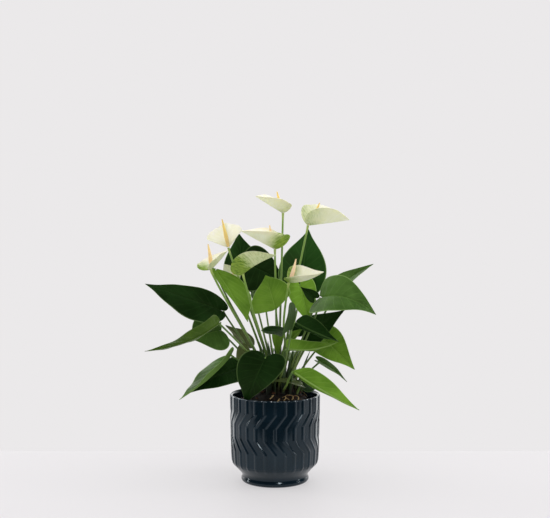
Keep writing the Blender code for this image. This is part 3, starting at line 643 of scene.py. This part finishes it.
class Blade:  # a heart-shaped blade bent along an arched midrib
    def __init__(self, shape, outline):
        rules = stemRules
        lobes = shape.get("lobes", 1)
        self.outline = [(x, y * lobes if y < 0 else y) for x, y in outline]
        self.base = np.array(shape["base"], float)
        self.tip = np.array(shape["tip"], float)
        self.length = np.linalg.norm(self.tip - self.base)
        chord = unit(self.tip - self.base)
        self.up = across(shape["face"], chord)
        side = np.cross(chord, self.up)
        self.control = self.base + chord * self.length * rules["archPlace"] + self.up * shape["arch"] * 2
        self.folds = pair(shape.get("fold", 12))
        self.lifts = pair(shape.get("lift", 0))
        self.skews = pair(shape.get("skew", 0))
        self.curl = shape.get("curl", 0)
        self.widest = max(x for x, y in outline)
        self.scale = shape["width"] / 2 / self.widest
        self.halves = shape.get("halves", (1, 1))
        self.start = unit(self.control - self.base)
        self.startUp = unit(np.cross(side, self.start))
        pull = rules["arrival"]
        arrival = self.startUp * pull[0] + self.start * pull[1] + np.array([0, 0, pull[2]])
        arrival = unit(shape.get("come", arrival))
        self.arrival = unit(arrival - 0.5 * np.dot(arrival, side) * side)
        self.joint = self.base - self.arrival * rules["jointDepth"]

    def places(self, x, y):
        # places of flat points (x across, y along, as fractions), with the normals there
        rules = stemRules
        along = (y + np.where(x > 0, self.skews[1], self.skews[0]) * np.abs(x))[:, None]
        bend = np.clip(along, 0, 1)
        heading = (1 - bend) * (self.control - self.base) + bend * (self.tip - self.control)
        heading /= np.linalg.norm(heading, axis=1)[:, None]
        middle = (1 - bend) ** 2 * self.base + 2 * bend * (1 - bend) * self.control
        middle = middle + bend ** 2 * self.tip
        middle = middle + 2 * np.minimum(along, 0) * (self.control - self.base)
        middle = middle + np.maximum(along - 1, 0) * unit(self.tip - self.control) * self.length
        normal = self.up - (heading @ self.up)[:, None] * heading
        normal /= np.linalg.norm(normal, axis=1)[:, None]
        side = np.cross(heading, normal)
        hand = np.sign(x)[:, None]
        fold = np.radians(np.where(x > 0, self.folds[1], self.folds[0]) * np.abs(np.sign(x)))[:, None]
        rise = fold + radians(self.curl) * np.abs(x)[:, None] / self.widest / 2
        reach = (np.abs(x) * np.where(x > 0, self.halves[1], self.halves[0]))[:, None] * self.scale
        place = middle + (side * hand * np.cos(rise) + normal * np.sin(rise)) * reach
        begin, span, power, spread = rules["lobeRise"]
        behind = np.clip((begin - y) / span, 0, 1) ** power * (np.abs(x) / self.widest) ** spread
        place = place + normal * (behind * np.where(x > 0, self.lifts[1], self.lifts[0]))[:, None]
        return place, normal * np.cos(fold) - side * hand * np.sin(fold)

    def flat(self, fan, fractions):
        # flat points: fan from -1 at the left margin over 0 at the midrib to 1,
        # fraction from 0 at the sinus to 1 at the tip
        first, last, gather = stemRules["midribRows"]
        levels, rows = np.unique(np.round(fractions, 6), return_inverse=True)
        margins = smoothCurve(self.outline, levels)[rows]
        middle = np.maximum(last * fractions ** gather, first)
        return fan * margins[:, 0], middle + (margins[:, 1] - middle) * np.abs(fan)

    def samples(self, rows=12, columns=5):
        fractions = np.repeat(np.linspace(0, 1, rows + 1)[1:], 2 * columns + 1)
        fan = np.tile(np.linspace(-1, 1, 2 * columns + 1), rows)
        return self.places(*self.flat(fan, fractions))[0]


def standingHeight(x, y):
    reach = np.maximum(np.hypot(x, y) - stemRules["footRadius"], 0)
    return moundHeight(reach) + stemRules["gap"]


def crownFoot(base):  # low stems start far out and upright ones near the middle
    out = np.array(base[:2], float) - stemRules["crown"]
    reach = np.linalg.norm(out)
    lean = atan2(reach, base[2] - soilShape["top"]) / (pi / 2)
    x, y = np.array(stemRules["crown"]) + out / reach * stemRules["crownReach"] * lean
    return np.array([x, y, standingHeight(x, y)])


def firstPath(foot, joint, arrival):
    span = np.linalg.norm(joint - foot)
    lean = np.array([joint[0] - foot[0], joint[1] - foot[1], 0]) * stemRules["lean"] / span
    low = foot + unit(np.array([0, 0, 1]) + lean) * span * stemRules["pulls"][0]
    high = joint - arrival * span * stemRules["pulls"][1]
    t = np.linspace(0, 1, stemRules["points"])[:, None]
    return (1 - t) ** 3 * foot + 3 * t * (1 - t) ** 2 * low + 3 * t * t * (1 - t) * high + t ** 3 * joint


def pushes(points, owners, others, otherOwners, spacing):
    # how far each point is pushed sideways by the foreign points that lie too near
    push = np.zeros_like(points)
    squares = (points ** 2).sum(1)[:, None] + (others ** 2).sum(1)[None, :] - 2 * points @ others.T
    near, far = np.nonzero(squares < spacing ** 2)
    foreign = owners[near] != otherOwners[far]
    near, far = near[foreign], far[foreign]
    if len(near):
        away = points[near] - others[far]
        distance = np.sqrt((away ** 2).sum(1)) + 1e-6
        away[:, 2] *= stemRules["lift"]
        flat = stemRules["flat"] * distance
        away /= np.maximum(np.sqrt((away ** 2).sum(1)), flat)[:, None]
        crowd = np.sqrt(np.bincount(near, minlength=len(points))[near])
        np.add.at(push, near, away * ((spacing - distance) / crowd)[:, None])
    return push


def standOnMound(paths):
    crown = stemRules["crown"]
    out = paths[:, 0, :2] - crown
    reach = np.maximum(np.linalg.norm(out, axis=1), 1e-6)
    paths[:, 0, :2] = crown + out * np.minimum(1, stemRules["crownLimit"] / reach)[:, None]
    paths[:, 0, 2] = standingHeight(paths[:, 0, 0], paths[:, 0, 1])
    own, foot, beyond = stemRules["secondPoint"]
    paths[:, 1, :2] = own * paths[:, 1, :2] + foot * paths[:, 0, :2] + beyond * paths[:, 2, :2]
    floor = standingHeight(paths[:, 1:, 0], paths[:, 1:, 1]) + stemRules["clearance"]
    paths[:, 1:, 2] = np.maximum(paths[:, 1:, 2], floor)


def settle(paths, blades):  # stems push each other and keep off the blades, with their joints held
    rules = stemRules
    paths = np.array(paths)
    owners = np.repeat(np.arange(len(paths)), rules["points"])
    clouds = [blade.samples() for blade in blades]
    cloud = np.concatenate(clouds)
    cloudOwners = np.repeat(np.arange(len(clouds)), [len(points) for points in clouds])
    freedom = np.ones(rules["points"])
    freedom[-3:] = rules["freedom"]
    freedom = freedom[None, :, None]
    for step in range(rules["steps"]):
        points = paths.reshape(-1, 3)
        push = pushes(points, owners, points, owners, rules["spacing"]) / 2
        push += pushes(points, owners, cloud, cloudOwners, rules["bladeSpacing"])
        push = push.reshape(paths.shape) * freedom
        paths = paths + rules["push"] * np.clip(push, -rules["pushLimit"], rules["pushLimit"])
        eased = paths.copy()
        eased[:, 1:-1] = (paths[:, :-2] + 2 * paths[:, 1:-1] + paths[:, 2:]) / 4
        paths = paths + rules["ease"] * freedom * (eased - paths)
        standOnMound(paths)
    return paths


# ---- leaf and stem finishes ----
leafColours = {
    "dark": {"deep": (0.003, 0.013, 0.002), "main": (0.008, 0.03, 0.005), "vein": (0.018, 0.05, 0.010),
             "under": (0.04, 0.08, 0.02), "edge": (0.09, 0.15, 0.045), "shine": 0.1},
    "mid": {"deep": (0.019, 0.052, 0.006), "main": (0.05, 0.113, 0.018), "vein": (0.08, 0.16, 0.03),
            "under": (0.09, 0.16, 0.035), "edge": (0.15, 0.24, 0.07), "shine": 0.22},
    "bright": {"deep": (0.055, 0.128, 0.008), "main": (0.115, 0.228, 0.02), "vein": (0.17, 0.29, 0.045),
               "under": (0.16, 0.26, 0.06), "edge": (0.24, 0.36, 0.10), "shine": 0.2},
    "olive": {"deep": (0.05, 0.08, 0.018), "main": (0.09, 0.13, 0.03), "vein": (0.15, 0.19, 0.06),
              "under": (0.13, 0.17, 0.05), "edge": (0.16, 0.22, 0.07), "shine": 0.2},
}
leafToneAndLight = {  # how much lighter or darker a leaf is than its tone: partly its own colour, partly painted light and shade for how brightly it is lit
    "left_edge": 0.4, "left_low": 1.3, "right_big": 1.15, "pale": 1.45, "right_green": 1.02,
    "front": 0.95, "left_high": 0.95, "vee": 0.85, "back_left": 0.9, "back_tip": 1.5, "back_right": 1.9,
    "mid_left": 1.04, "right_front": 1.15, "left_back": 1.15, "inner_high": 0.5, "inner_low": 0.6,
    "low_small": 0.5, "mid_small": 0.7, "curl_small": 0.7,
}
veinLook = {"count": 9, "lean": 0.2, "curve": 0.8, "width": 0.1, "midrib": 0.04}


def veinMask(fan, along):
    look = veinLook
    phase = ((along - look["lean"] * fan ** look["curve"]) * look["count"] + 3.0).fraction()
    beside = abs(phase - 0.5) * 2.0
    return beside.ramp(1 - look["width"] * 1.6, 1.0) * (1.0 - fan.ramp(0.75, 1.0))


def leafPaint(tone):
    colours = leafColours[tone]
    finish = Finish(tone + "Leaf", {"IOR": 1.45, "Specular IOR Level": colours["shine"],
                                    "Specular Tint": (0.95, 1.0, 0.5, 1)})
    span, along = finish.parts(finish.coords("UV"))[:2]
    fan = abs(span * 2.0 - 1.0)
    place = finish.coords()
    cloud = finish.noise(place, 22, 3)
    fine = finish.noise(place, 260, 4, 0.6)
    tint = finish.attribute("tint")
    under = finish.attribute("under")
    side = veinMask(fan, along)
    midrib = 1.0 - fan.ramp(0.012, veinLook["midrib"])
    cells = finish.node("TexVoronoi", {"feature": "DISTANCE_TO_EDGE"},
                        {"Vector": finish.stretched(finish.coords("UV"), (46, 60, 1)), "Scale": 1.0})
    net = 1.0 - cells.ramp(0.0, 0.09)
    light = (cloud.ramp(0.35, 0.65) * 0.85 + tint * 0.35).clamped()
    colour = finish.mix(light, colours["deep"], colours["main"])
    colour = finish.mix((fine - 0.5).clamped() * 0.35, colour, colours["vein"])
    colour = finish.mix(net * 0.10, colour, colours["vein"])
    colour = finish.mix(side * 0.42, colour, colours["vein"])
    colour = finish.mix(midrib * 0.8, colour, colours["vein"])
    colour = finish.mix(fan.ramp(0.96, 0.985) * 0.85, colour, colours["edge"])
    veined = (side * 0.5 + midrib * 0.6 + net * 0.15).clamped()
    back = finish.mix(veined, colours["under"], colours["vein"])
    colour = finish.mix(under, colour, back)
    rough = 0.27 + cloud * 0.12 + fine * 0.06 + under * 0.2
    height = side * 0.5 + net * 0.18 + fine * 0.25
    normal = finish.bump(height, 0.0004, 0.5)
    # each colour is scaled by the leaf's shade value, which carries painted light and shade as well as
    # tone
    colour = finish.scaled(colour, finish.attribute("shade"))
    return finish.wear(colour=colour, rough=rough, normal=normal)


# foot is painted shade that darkens the stems low down in the crown; streak is the stems' own lighter
# streaking
stemTones = {"foot": (0.022, 0.022, 0.008), "streak": (0.25, 0.31, 0.10)}


def stemPaint(name, low, high, joint):
    finish = Finish(name, {"IOR": 1.45})
    along = finish.parts(finish.coords("UV"))[1]
    place = finish.coords()
    streak = finish.noise(finish.stretched(place, (1, 1, 0.12)), 700, 3, 0.6)
    cloud = finish.noise(place, 60, 3)
    colour = finish.mix((along + (cloud - 0.5) * 0.6).clamped(), low, high)
    # painted shade: stems darken towards their feet, deep in the crown
    shadedFoot = ((0.2 - along) * 5.0 + (cloud - 0.5)).clamped() * 0.85
    colour = finish.mix(shadedFoot, colour, stemTones["foot"])
    colour = finish.mix(along.ramp(0.93, 0.985), colour, joint)
    colour = finish.mix(streak.ramp(0.52, 0.72) * 0.3, colour, stemTones["streak"])
    rough = 0.34 + streak * 0.2
    return finish.wear(colour=colour, rough=rough, normal=finish.bump(streak, 0.0003, 0.4))


# ---- leaves ----
leafLook = {
    "rows": 60, "halfColumns": 15, "first": 0.025, "thickness": 0.55, "groove": 0.9, "grooveHalf": 1.7,
    "quilt": 0.42, "wave": 1.2, "waves": 2.5, "fanGather": 1.25,
    "petiole": 1.75, "petioleTop": 1.25, "taper": 0.8, "rings": 40, "jointDepth": 0.6,
    "knuckle": 1.45, "knucklePlace": 5, "knuckleHalf": 6, "seed": 100,
}


def bladeGrid(bm, blade, look, draw):
    # the blade's upper face: a grid fanned out from the midrib and quilted between its veins
    halves = look["halfColumns"]
    phases = [draw.random() * 2 * pi for hand in (0, 1)]
    waves = look["waves"] * draw.uniform(0.8, 1.25)
    wave = look["wave"] * draw.uniform(0.6, 1.2) * min(1, blade.scale / 60)

    def place(across, along):
        fan = across * 2 - 1
        fan = np.sign(fan) * np.abs(fan) ** look["fanGather"]
        fraction = look["first"] + (1 - look["first"]) * along
        x, y = blade.flat(fan, fraction)
        spot, normal = blade.places(x, y)
        reach = np.abs(x) * blade.scale
        edge = np.abs(fan)
        phase = (fraction - veinLook["lean"] * edge ** veinLook["curve"]) * veinLook["count"]
        quilt = look["quilt"] * (np.cos(2 * pi * phase) * -0.5) * edge ** 0.5 * (1 - edge ** 3)
        groove = -look["groove"] * np.exp(-(reach / look["grooveHalf"]) ** 2)
        groove = groove * np.clip(3 * (1 - along), 0, 1)
        turn = np.where(fan > 0, phases[0], phases[1])
        ripple = wave * np.sin(2 * pi * waves * along + turn) * edge ** 3 * np.sin(pi * along) ** 0.5
        return spot + normal * (quilt + groove + ripple)[:, None]

    made = bentGrid(bm, 2 * halves, look["rows"], place)
    faces = {face for vert in made for face in vert.link_faces}
    edges = {edge for vert in made for edge in vert.link_edges}
    return made, list(edges), list(faces)


def thicken(bm, shell, thickness, under):
    # a copy of the shell set back by the thickness, turned over, with a wall round the margin
    verts, edges, faces = shell
    uvLayer = bm.loops.layers.uv.verify()
    bm.normal_update()
    backs = {vert: vert.co - vert.normal * thickness * mm for vert in verts}
    made = bmesh.ops.duplicate(bm, geom=verts + edges + faces)
    twins = made["vert_map"]
    for vert in verts:
        twins[vert].co = backs[vert]
        twins[vert][under] = 1.0
    copies = [item for item in made["geom"] if isinstance(item, bmesh.types.BMFace)]
    bmesh.ops.reverse_faces(bm, faces=copies)
    spots = {loop.vert: loop[uvLayer].uv.copy() for face in faces + copies for loop in face.loops}
    for first, second in [edge.verts for edge in edges if edge.is_boundary]:
        wall = bm.faces.new((first, second, twins[second], twins[first]))
        for loop in wall.loops:
            loop[uvLayer].uv = spots[loop.vert]


def buildLeaf(name, shape, blade, path, index):
    look = leafLook
    draw = random.Random(look["seed"] + index)
    bm = bmesh.new()
    under, tintLayer, shadeLayer = vertLayers(bm, "under", "tint", "shade")
    shell = bladeGrid(bm, blade, look, draw)
    tint = draw.uniform(0.1, 0.9)
    thicken(bm, shell, look["thickness"], under)
    for vert in bm.verts:
        vert[tintLayer] = tint
        # shade: the leaf's tone together with its painted light and shade
        vert[shadeLayer] = leafToneAndLight.get(name, 1.0)
    bladeFaces = len(bm.faces)
    end = blade.base - blade.arrival * look["jointDepth"]
    points = np.vstack([path, [end]])
    share = np.linspace(0, 1, look["rings"])
    centres = smoothCurve(points, share)
    length = np.linalg.norm(np.diff(points, axis=0), axis=1).sum()
    toEnd = (1 - share) * length
    radii = look["petioleTop"] + (look["petiole"] - look["petioleTop"]) * (1 - share) ** look["taper"]
    swell = np.clip(1 - np.abs(toEnd - look["knucklePlace"]) / look["knuckleHalf"], 0, 1)
    radii = radii + (look["knuckle"] - look["petioleTop"]) * swell
    tubeAlong(bm, centres, radii)
    bm.faces.ensure_lookup_table()
    for face in bm.faces[bladeFaces:]:
        face.material_index = 1
    title = "leaf" + "".join(word.capitalize() for word in name.split("_"))
    paints = [leafPaints[shape["tone"]], petiolePaint]
    return finishPiece(title, bm, paints, "leaf_" + shape["tone"], ["leaf_" + name])


# ---- flowers ----
spatheLook = {
    "rows": 56, "halfColumns": 15, "first": 0.02, "thickness": 0.5, "groove": 0.5, "grooveHalf": 1.5,
    "quilt": 0.15, "wave": 1.0, "waves": 1.6, "fanGather": 1.2, "seed": 300,
    "lobeGreen": (1.7, 3.1, 1.6), "sinusGreen": (0.7, 0.5, 0.4),    # how the green fades from each
    "pale": ((0.84, 0.82, 0.63), (0.91, 0.90, 0.80)), "vein": (0.70, 0.74, 0.40),
    "flush": (0.74, 0.56, 0.45), "under": (0.62, 0.68, 0.33), "green": (0.25, 0.36, 0.045),
    "darkGreen": (0.07, 0.16, 0.012),
}
# green: at the sinus, on the left lobe, on the right lobe, all over; blush: at the margin;
# rod: how pink the spadix is; light: how light the spathe is, partly its own colour and partly painted
# light and shade
spatheMoods = {
    "flower_1": {"green": (0.15, 0.1, 0.1, 0.0), "blush": 0.1, "rod": 0.1, "light": 0.87},
    "flower_2": {"green": (0.4, 0.6, 0.2, 0.05), "blush": 0.35, "rod": 0.45, "light": 0.95},
    "flower_3": {"green": (0.3, 0.15, 0.3, 0.03), "blush": 0.35, "rod": 0.1, "light": 1.03},
    "flower_4": {"green": (0.5, 0.3, 0.25, 0.05), "blush": 0.15, "rod": 0.2, "light": 1.03},
    "flower_5": {"green": (0.5, 0.95, 0.7, 0.0), "blush": 0.45, "rod": 0.8, "light": 1.08},
    "flower_6": {"green": (0.9, 1.0, 0.9, 0.3), "blush": 0.25, "rod": 0.4, "light": 0.95},
    "flower_7": {"green": (0.5, 0.6, 0.7, 0.05), "blush": 0.3, "rod": 0.9, "light": 0.94},
    "flower_8": {"green": (0.3, 0.2, 0.2, 0.1), "blush": 0.2, "rod": 0.5, "light": 0.9},
}
spadixLook = {
    "rings": 110, "sides": 44, "radii": (1.7, 2.5, 2.8, 2.85, 2.8, 2.7, 2.45, 1.95, 0.6),
    "knob": 0.16, "turns": 26, "spirals": 11, "lift": 0.4, "step": 1.0, "bow": 0.8, "tip": 0.15,
    "yellow": ((0.83, 0.60, 0.22), (0.90, 0.66, 0.16)),
    "peach": ((0.82, 0.56, 0.42), (0.88, 0.68, 0.42)),
    "speck": (0.95, 0.9, 0.7),
}


def spathePaint():
    look = spatheLook
    finish = Finish("spatheSkin", {"IOR": 1.42, "Subsurface Weight": 0.25, "Subsurface Scale": 0.002,
                                   "Subsurface Radius": (1, 1, 0.5)})
    span, along = finish.parts(finish.coords("UV"))[:2]
    fan = abs(span * 2.0 - 1.0)
    place = finish.coords()
    cloud = finish.noise(place, 70, 4, 0.6)
    fine = finish.noise(place, 420, 3)
    green = finish.attribute("green")
    blush = finish.attribute("blush")
    under = finish.attribute("under")
    side = veinMask(fan, along)
    midrib = 1.0 - fan.ramp(0.01, 0.05)
    streak = finish.noise(finish.stretched(finish.coords("UV"), (3, 16, 1)), 2.2, 4, 0.65)
    patch = (green * 1.5 + (streak - 0.5) * 1.6 * green + (cloud - 0.5) * 0.5 * green).clamped()
    pale = finish.mix(cloud.ramp(0.3, 0.75), *look["pale"])
    colour = finish.mix((side * 0.25 + midrib * 0.35).clamped(), pale, look["vein"])
    flushed = (blush * fan.ramp(0.55, 1.0) * (0.4 + cloud * 0.8)).clamped()
    colour = finish.mix(flushed, colour, look["flush"])
    colour = finish.mix(under * 0.2, colour, look["under"])
    colour = finish.mix(patch, colour, look["green"])
    darker = (patch * patch * streak.ramp(0.42, 0.62)).clamped() * 0.85
    colour = finish.mix(darker, colour, look["darkGreen"])
    rough = 0.36 + fine * 0.14
    normal = finish.bump(side * 0.6 + fine * 0.35, 0.0004, 0.35)
    # each colour is scaled by the spathe's shade value, which carries painted light and shade as well as
    # tone
    colour = finish.scaled(colour, finish.attribute("shade"))
    return finish.wear(colour=colour, rough=rough, normal=normal)


def spadixPaint():
    look = spadixLook
    finish = Finish("spadixKnobs", {"IOR": 1.4, "Subsurface Weight": 0.15, "Subsurface Scale": 0.002,
                                    "Subsurface Radius": (1, 0.6, 0.3)})
    along = finish.parts(finish.coords("UV"))[1]
    rod = finish.attribute("rod")
    speck = finish.noise(finish.coords(), 900, 2)
    yellow = finish.mix(along.ramp(0.0, 0.9), *look["yellow"])
    peach = finish.mix(along.ramp(0.0, 0.9), *look["peach"])
    colour = finish.mix(rod, yellow, peach)
    colour = finish.mix(speck.ramp(0.6, 0.75) * 0.2, colour, look["speck"])
    return finish.wear(colour=colour, rough=0.5 + speck * 0.2, normal=finish.bump(speck, 0.0002, 0.4))


def finishFlowerPart(part, flower, bm, paint):  # such as spathe1 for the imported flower_1_spathe
    return finishPiece(part + flower.split("_")[1], bm, [paint], part, [flower + "_" + part])


def buildSpathe(name, blade, index):
    look, mood = spatheLook, spatheMoods[name]
    draw = random.Random(look["seed"] + index)
    bm = bmesh.new()
    under, greenLayer, shadeLayer, blushLayer = vertLayers(bm, "under", "green", "shade", "blush")
    shell = bladeGrid(bm, blade, look, draw)
    atSinus, left, right, overall = mood["green"]
    lobeStart, lobeFall, lobeSpread = look["lobeGreen"]
    alongFall, fanFall, sinusSize = look["sinusGreen"]
    thicken(bm, shell, look["thickness"], under)
    uvLayer = bm.loops.layers.uv.verify()
    for loop in (loop for face in bm.faces for loop in face.loops):
        span, along = loop[uvLayer].uv
        fan = span * 2 - 1
        lobe = min(1, max(0, lobeStart - along * lobeFall)) * min(1, abs(fan) * lobeSpread)
        nearSinus = max(0, 1 - (along * alongFall + abs(fan) * fanFall) / sinusSize)
        green = overall + atSinus * nearSinus + lobe * (right if fan > 0 else left)
        loop.vert[greenLayer] = min(green, 1.0)
        loop.vert[blushLayer] = mood["blush"]
        loop.vert[shadeLayer] = mood["light"]
    return finishFlowerPart("spathe", name, bm, spatheSkin)


def buildSpadix(name, shape, blade):
    look = spadixLook
    end = np.array(shape["spadix"], float)
    foot = blade.base + blade.startUp * look["lift"] + blade.start * look["step"]
    middle = (foot + end) / 2 + across(blade.start, unit(end - foot)) * look["bow"]
    centres = smoothCurve([foot, middle, end], np.linspace(0, 1, look["rings"]))
    marks = np.linspace(0, 1, len(look["radii"]))
    radii = smoothCurve(list(zip(marks, look["radii"])), np.linspace(0, 1, look["rings"]))[:, 1]
    radii[-1] = look["tip"]

    def bumps(angle, along):
        spiral = look["spirals"]
        rows = np.cos(spiral * angle + look["turns"] * 2 * pi * along)
        return look["knob"] * rows * np.cos(spiral * angle - look["turns"] * 2 * pi * along)

    bm = bmesh.new()
    [rodLayer] = vertLayers(bm, "rod")
    made = tubeAlong(bm, centres, radii, look["sides"], bumps)
    for vert in made:
        vert[rodLayer] = spatheMoods[name]["rod"]
    return finishFlowerPart("spadix", name, bm, spadixKnobs)


scapeLook = {"foot": 1.9, "top": 1.5, "knuckle": 0.5, "knucklePlace": 0.965, "knuckleSpan": 0.035,
             "jointDepth": 0.5, "rings": 44, "sides": 12}


def buildScape(name, blade, path):
    look = scapeLook
    end = blade.base - blade.arrival * look["jointDepth"]
    share = np.linspace(0, 1, look["rings"])
    centres = smoothCurve(np.vstack([path, [end]]), share)
    radii = look["foot"] + (look["top"] - look["foot"]) * share
    swell = np.clip((share - look["knucklePlace"]) / look["knuckleSpan"], 0, 1)
    radii = radii + look["knuckle"] * swell
    bm = bmesh.new()
    tubeAlong(bm, centres, radii, look["sides"])
    return finishFlowerPart("scape", name, bm, scapePaint)


leafPaints = {tone: leafPaint(tone) for tone in leafColours}
petiolePaint = stemPaint("petioleSkin", (0.16, 0.22, 0.045), (0.07, 0.15, 0.024), (0.12, 0.22, 0.04))
scapePaint = stemPaint("scapeSkin", (0.06, 0.11, 0.02), (0.18, 0.31, 0.045), (0.33, 0.43, 0.10))
spatheSkin = spathePaint()
spadixKnobs = spadixPaint()
shapes = list(leafShapes.values()) + list(flowerShapes.values())
blades = [Blade(shape, heartOutline) for shape in leafShapes.values()]
blades += [Blade(shape, spatheOutline) for shape in flowerShapes.values()]
firstPaths = []
for index, (shape, blade) in enumerate(zip(shapes, blades)):
    isLeaf = index < len(leafShapes)
    joint = blade.joint if isLeaf else blade.joint - blade.arrival * 2 * stemRules["gap"]
    firstPaths.append(firstPath(crownFoot(shape["base"]), joint, blade.arrival))
stems = settle(firstPaths, blades)
print("stems settled")
for index, name in enumerate([*leafShapes, *flowerShapes]):
    if name in finerShapes:
        outline = heartOutline if name in leafShapes else spatheOutline
        blades[index] = Blade({**shapes[index], **finerShapes[name]}, outline)

for index, (name, shape) in enumerate(leafShapes.items()):
    buildLeaf(name, shape, blades[index], stems[index], index)
print("leaves made")

for index, (name, shape) in enumerate(flowerShapes.items()):
    blade, stem = blades[len(leafShapes) + index], stems[len(leafShapes) + index]
    buildScape(name, blade, stem)
    buildSpathe(name, blade, index)
    buildSpadix(name, shape, blade)
print("flowers made")


# ---- floor, backdrop and light ----
stageLook = {"depth": (-0.3, 0.19), "half": 1.6, "thick": 0.03, "wall": (0.831, 0.815, 0.822),
             "fill": 0.96, "mirrored": (0.012, 2.1), "behind": (0.35, 0.8), "glow": 0.58,
             "sky": (0.97, 0.98, 1), "floor": ((0.235, 0.225, 0.23), (0.25, 0.24, 0.245))}


def buildFloor():
    look = stageLook
    bm = bmesh.new()
    near, far = look["depth"]
    made = bmesh.ops.create_cube(bm, size=1)["verts"]
    bmesh.ops.scale(bm, vec=(2 * look["half"], far - near, look["thick"]), verts=made)
    bmesh.ops.translate(bm, vec=(0, (near + far) / 2, -look["thick"] / 2), verts=made)
    finish = Finish("floorPaint", {"IOR": 1.4, "Specular IOR Level": 0.2})
    cloud = finish.noise(finish.coords(), 6, 3)
    colour = finish.mix(cloud, *look["floor"])
    finish.shader.inputs["Emission Color"].default_value = (*look["wall"], 1)
    finish.shader.inputs["Emission Strength"].default_value = look["glow"]
    floor = placeMesh("floor", bm, [finish.wear(colour=colour, rough=0.6 + cloud * 0.1)])


def buildWorld():
    world = bpy.data.worlds.new("studio")
    bpy.context.scene.world = world
    world.use_nodes = True
    tree = world.node_tree
    seen = tree.nodes["Background"]
    seen.inputs["Color"].default_value = (*stageLook["wall"], 1)
    rays = tree.nodes.new("ShaderNodeLightPath")
    shown = tree.nodes.new("ShaderNodeBackground")
    shown.inputs["Color"].default_value = (*stageLook["sky"], 1)
    shown.inputs["Strength"].default_value = stageLook["fill"]
    dim = tree.nodes.new("ShaderNodeBackground")
    place = tree.nodes.new("ShaderNodeTexCoord")
    split = tree.nodes.new("ShaderNodeSeparateXYZ")
    tree.links.new(place.outputs["Generated"], split.inputs[0])
    depth = Wire(tree, split.outputs["Y"])
    low, high = stageLook["mirrored"]
    strength = low + depth.ramp(*stageLook["behind"]) * (high - low)
    tree.links.new(strength.socket, dim.inputs["Strength"])
    for ray, over in (("Is Glossy Ray", dim), ("Is Camera Ray", seen)):
        blend = tree.nodes.new("ShaderNodeMixShader")
        tree.links.new(rays.outputs[ray], blend.inputs[0])
        tree.links.new(shown.outputs[0], blend.inputs[1])
        tree.links.new(over.outputs[0], blend.inputs[2])
        shown = blend
    tree.links.new(shown.outputs[0], tree.nodes["World Output"].inputs["Surface"])


lampSet = {  # place, aimed-at point, size, power, all in metres and watts
    "top": ((0.1, -0.15, 1.7), (0, 0, 0.2), (1.6, 1.2), 7.8),
    "left": ((-1.5, 0.3, 0.9), (0, 0, 0.2), (0.4, 0.9), 6),
    "right": ((1.5, -0.05, 0.9), (0, 0, 0.2), (0.4, 0.9), 6),
    "back": ((0.0, 1.4, 1.0), (0, 0, 0.2), (2.2, 1.2), 4),
    "front": ((0.5, -1.7, 1.3), (0, 0, 0.2), (0.9, 0.9), 0.9),
    "glintLeft": ((-1.47, 0.31, 0.16), (0, 0, 0), (0.14, 0.12), 1.6),
    "glintFront": ((0.43, -1.5, 0.78), (0, 0, 0), (0.26, 0.22), 3),
    "glintRight": ((1.5, -0.05, 0.16), (0, 0, 0), (0.14, 0.12), 1.6),
}
unseenLamps = ("top", "back")  # these light the part but leave no mirror image on the glaze


def buildLamps():
    for name, (place, aim, size, power) in lampSet.items():
        data = bpy.data.lights.new(name + "Lamp", "AREA")
        data.shape = "RECTANGLE"
        data.size, data.size_y = size
        data.energy = power
        lamp = bpy.data.objects.new(name + "Lamp", data)
        lamp.location = place
        lamp.rotation_euler = (Vector(aim) - Vector(place)).to_track_quat("-Z", "Y").to_euler()
        lamp.visible_glossy = name not in unseenLamps
        lamp.visible_camera = False
        lamp.visible_diffuse = not name.startswith("glint")    # those only put glints on glossy edges
        bpy.context.scene.collection.objects.link(lamp)


buildFloor()
buildWorld()
buildLamps()
print("stage set")
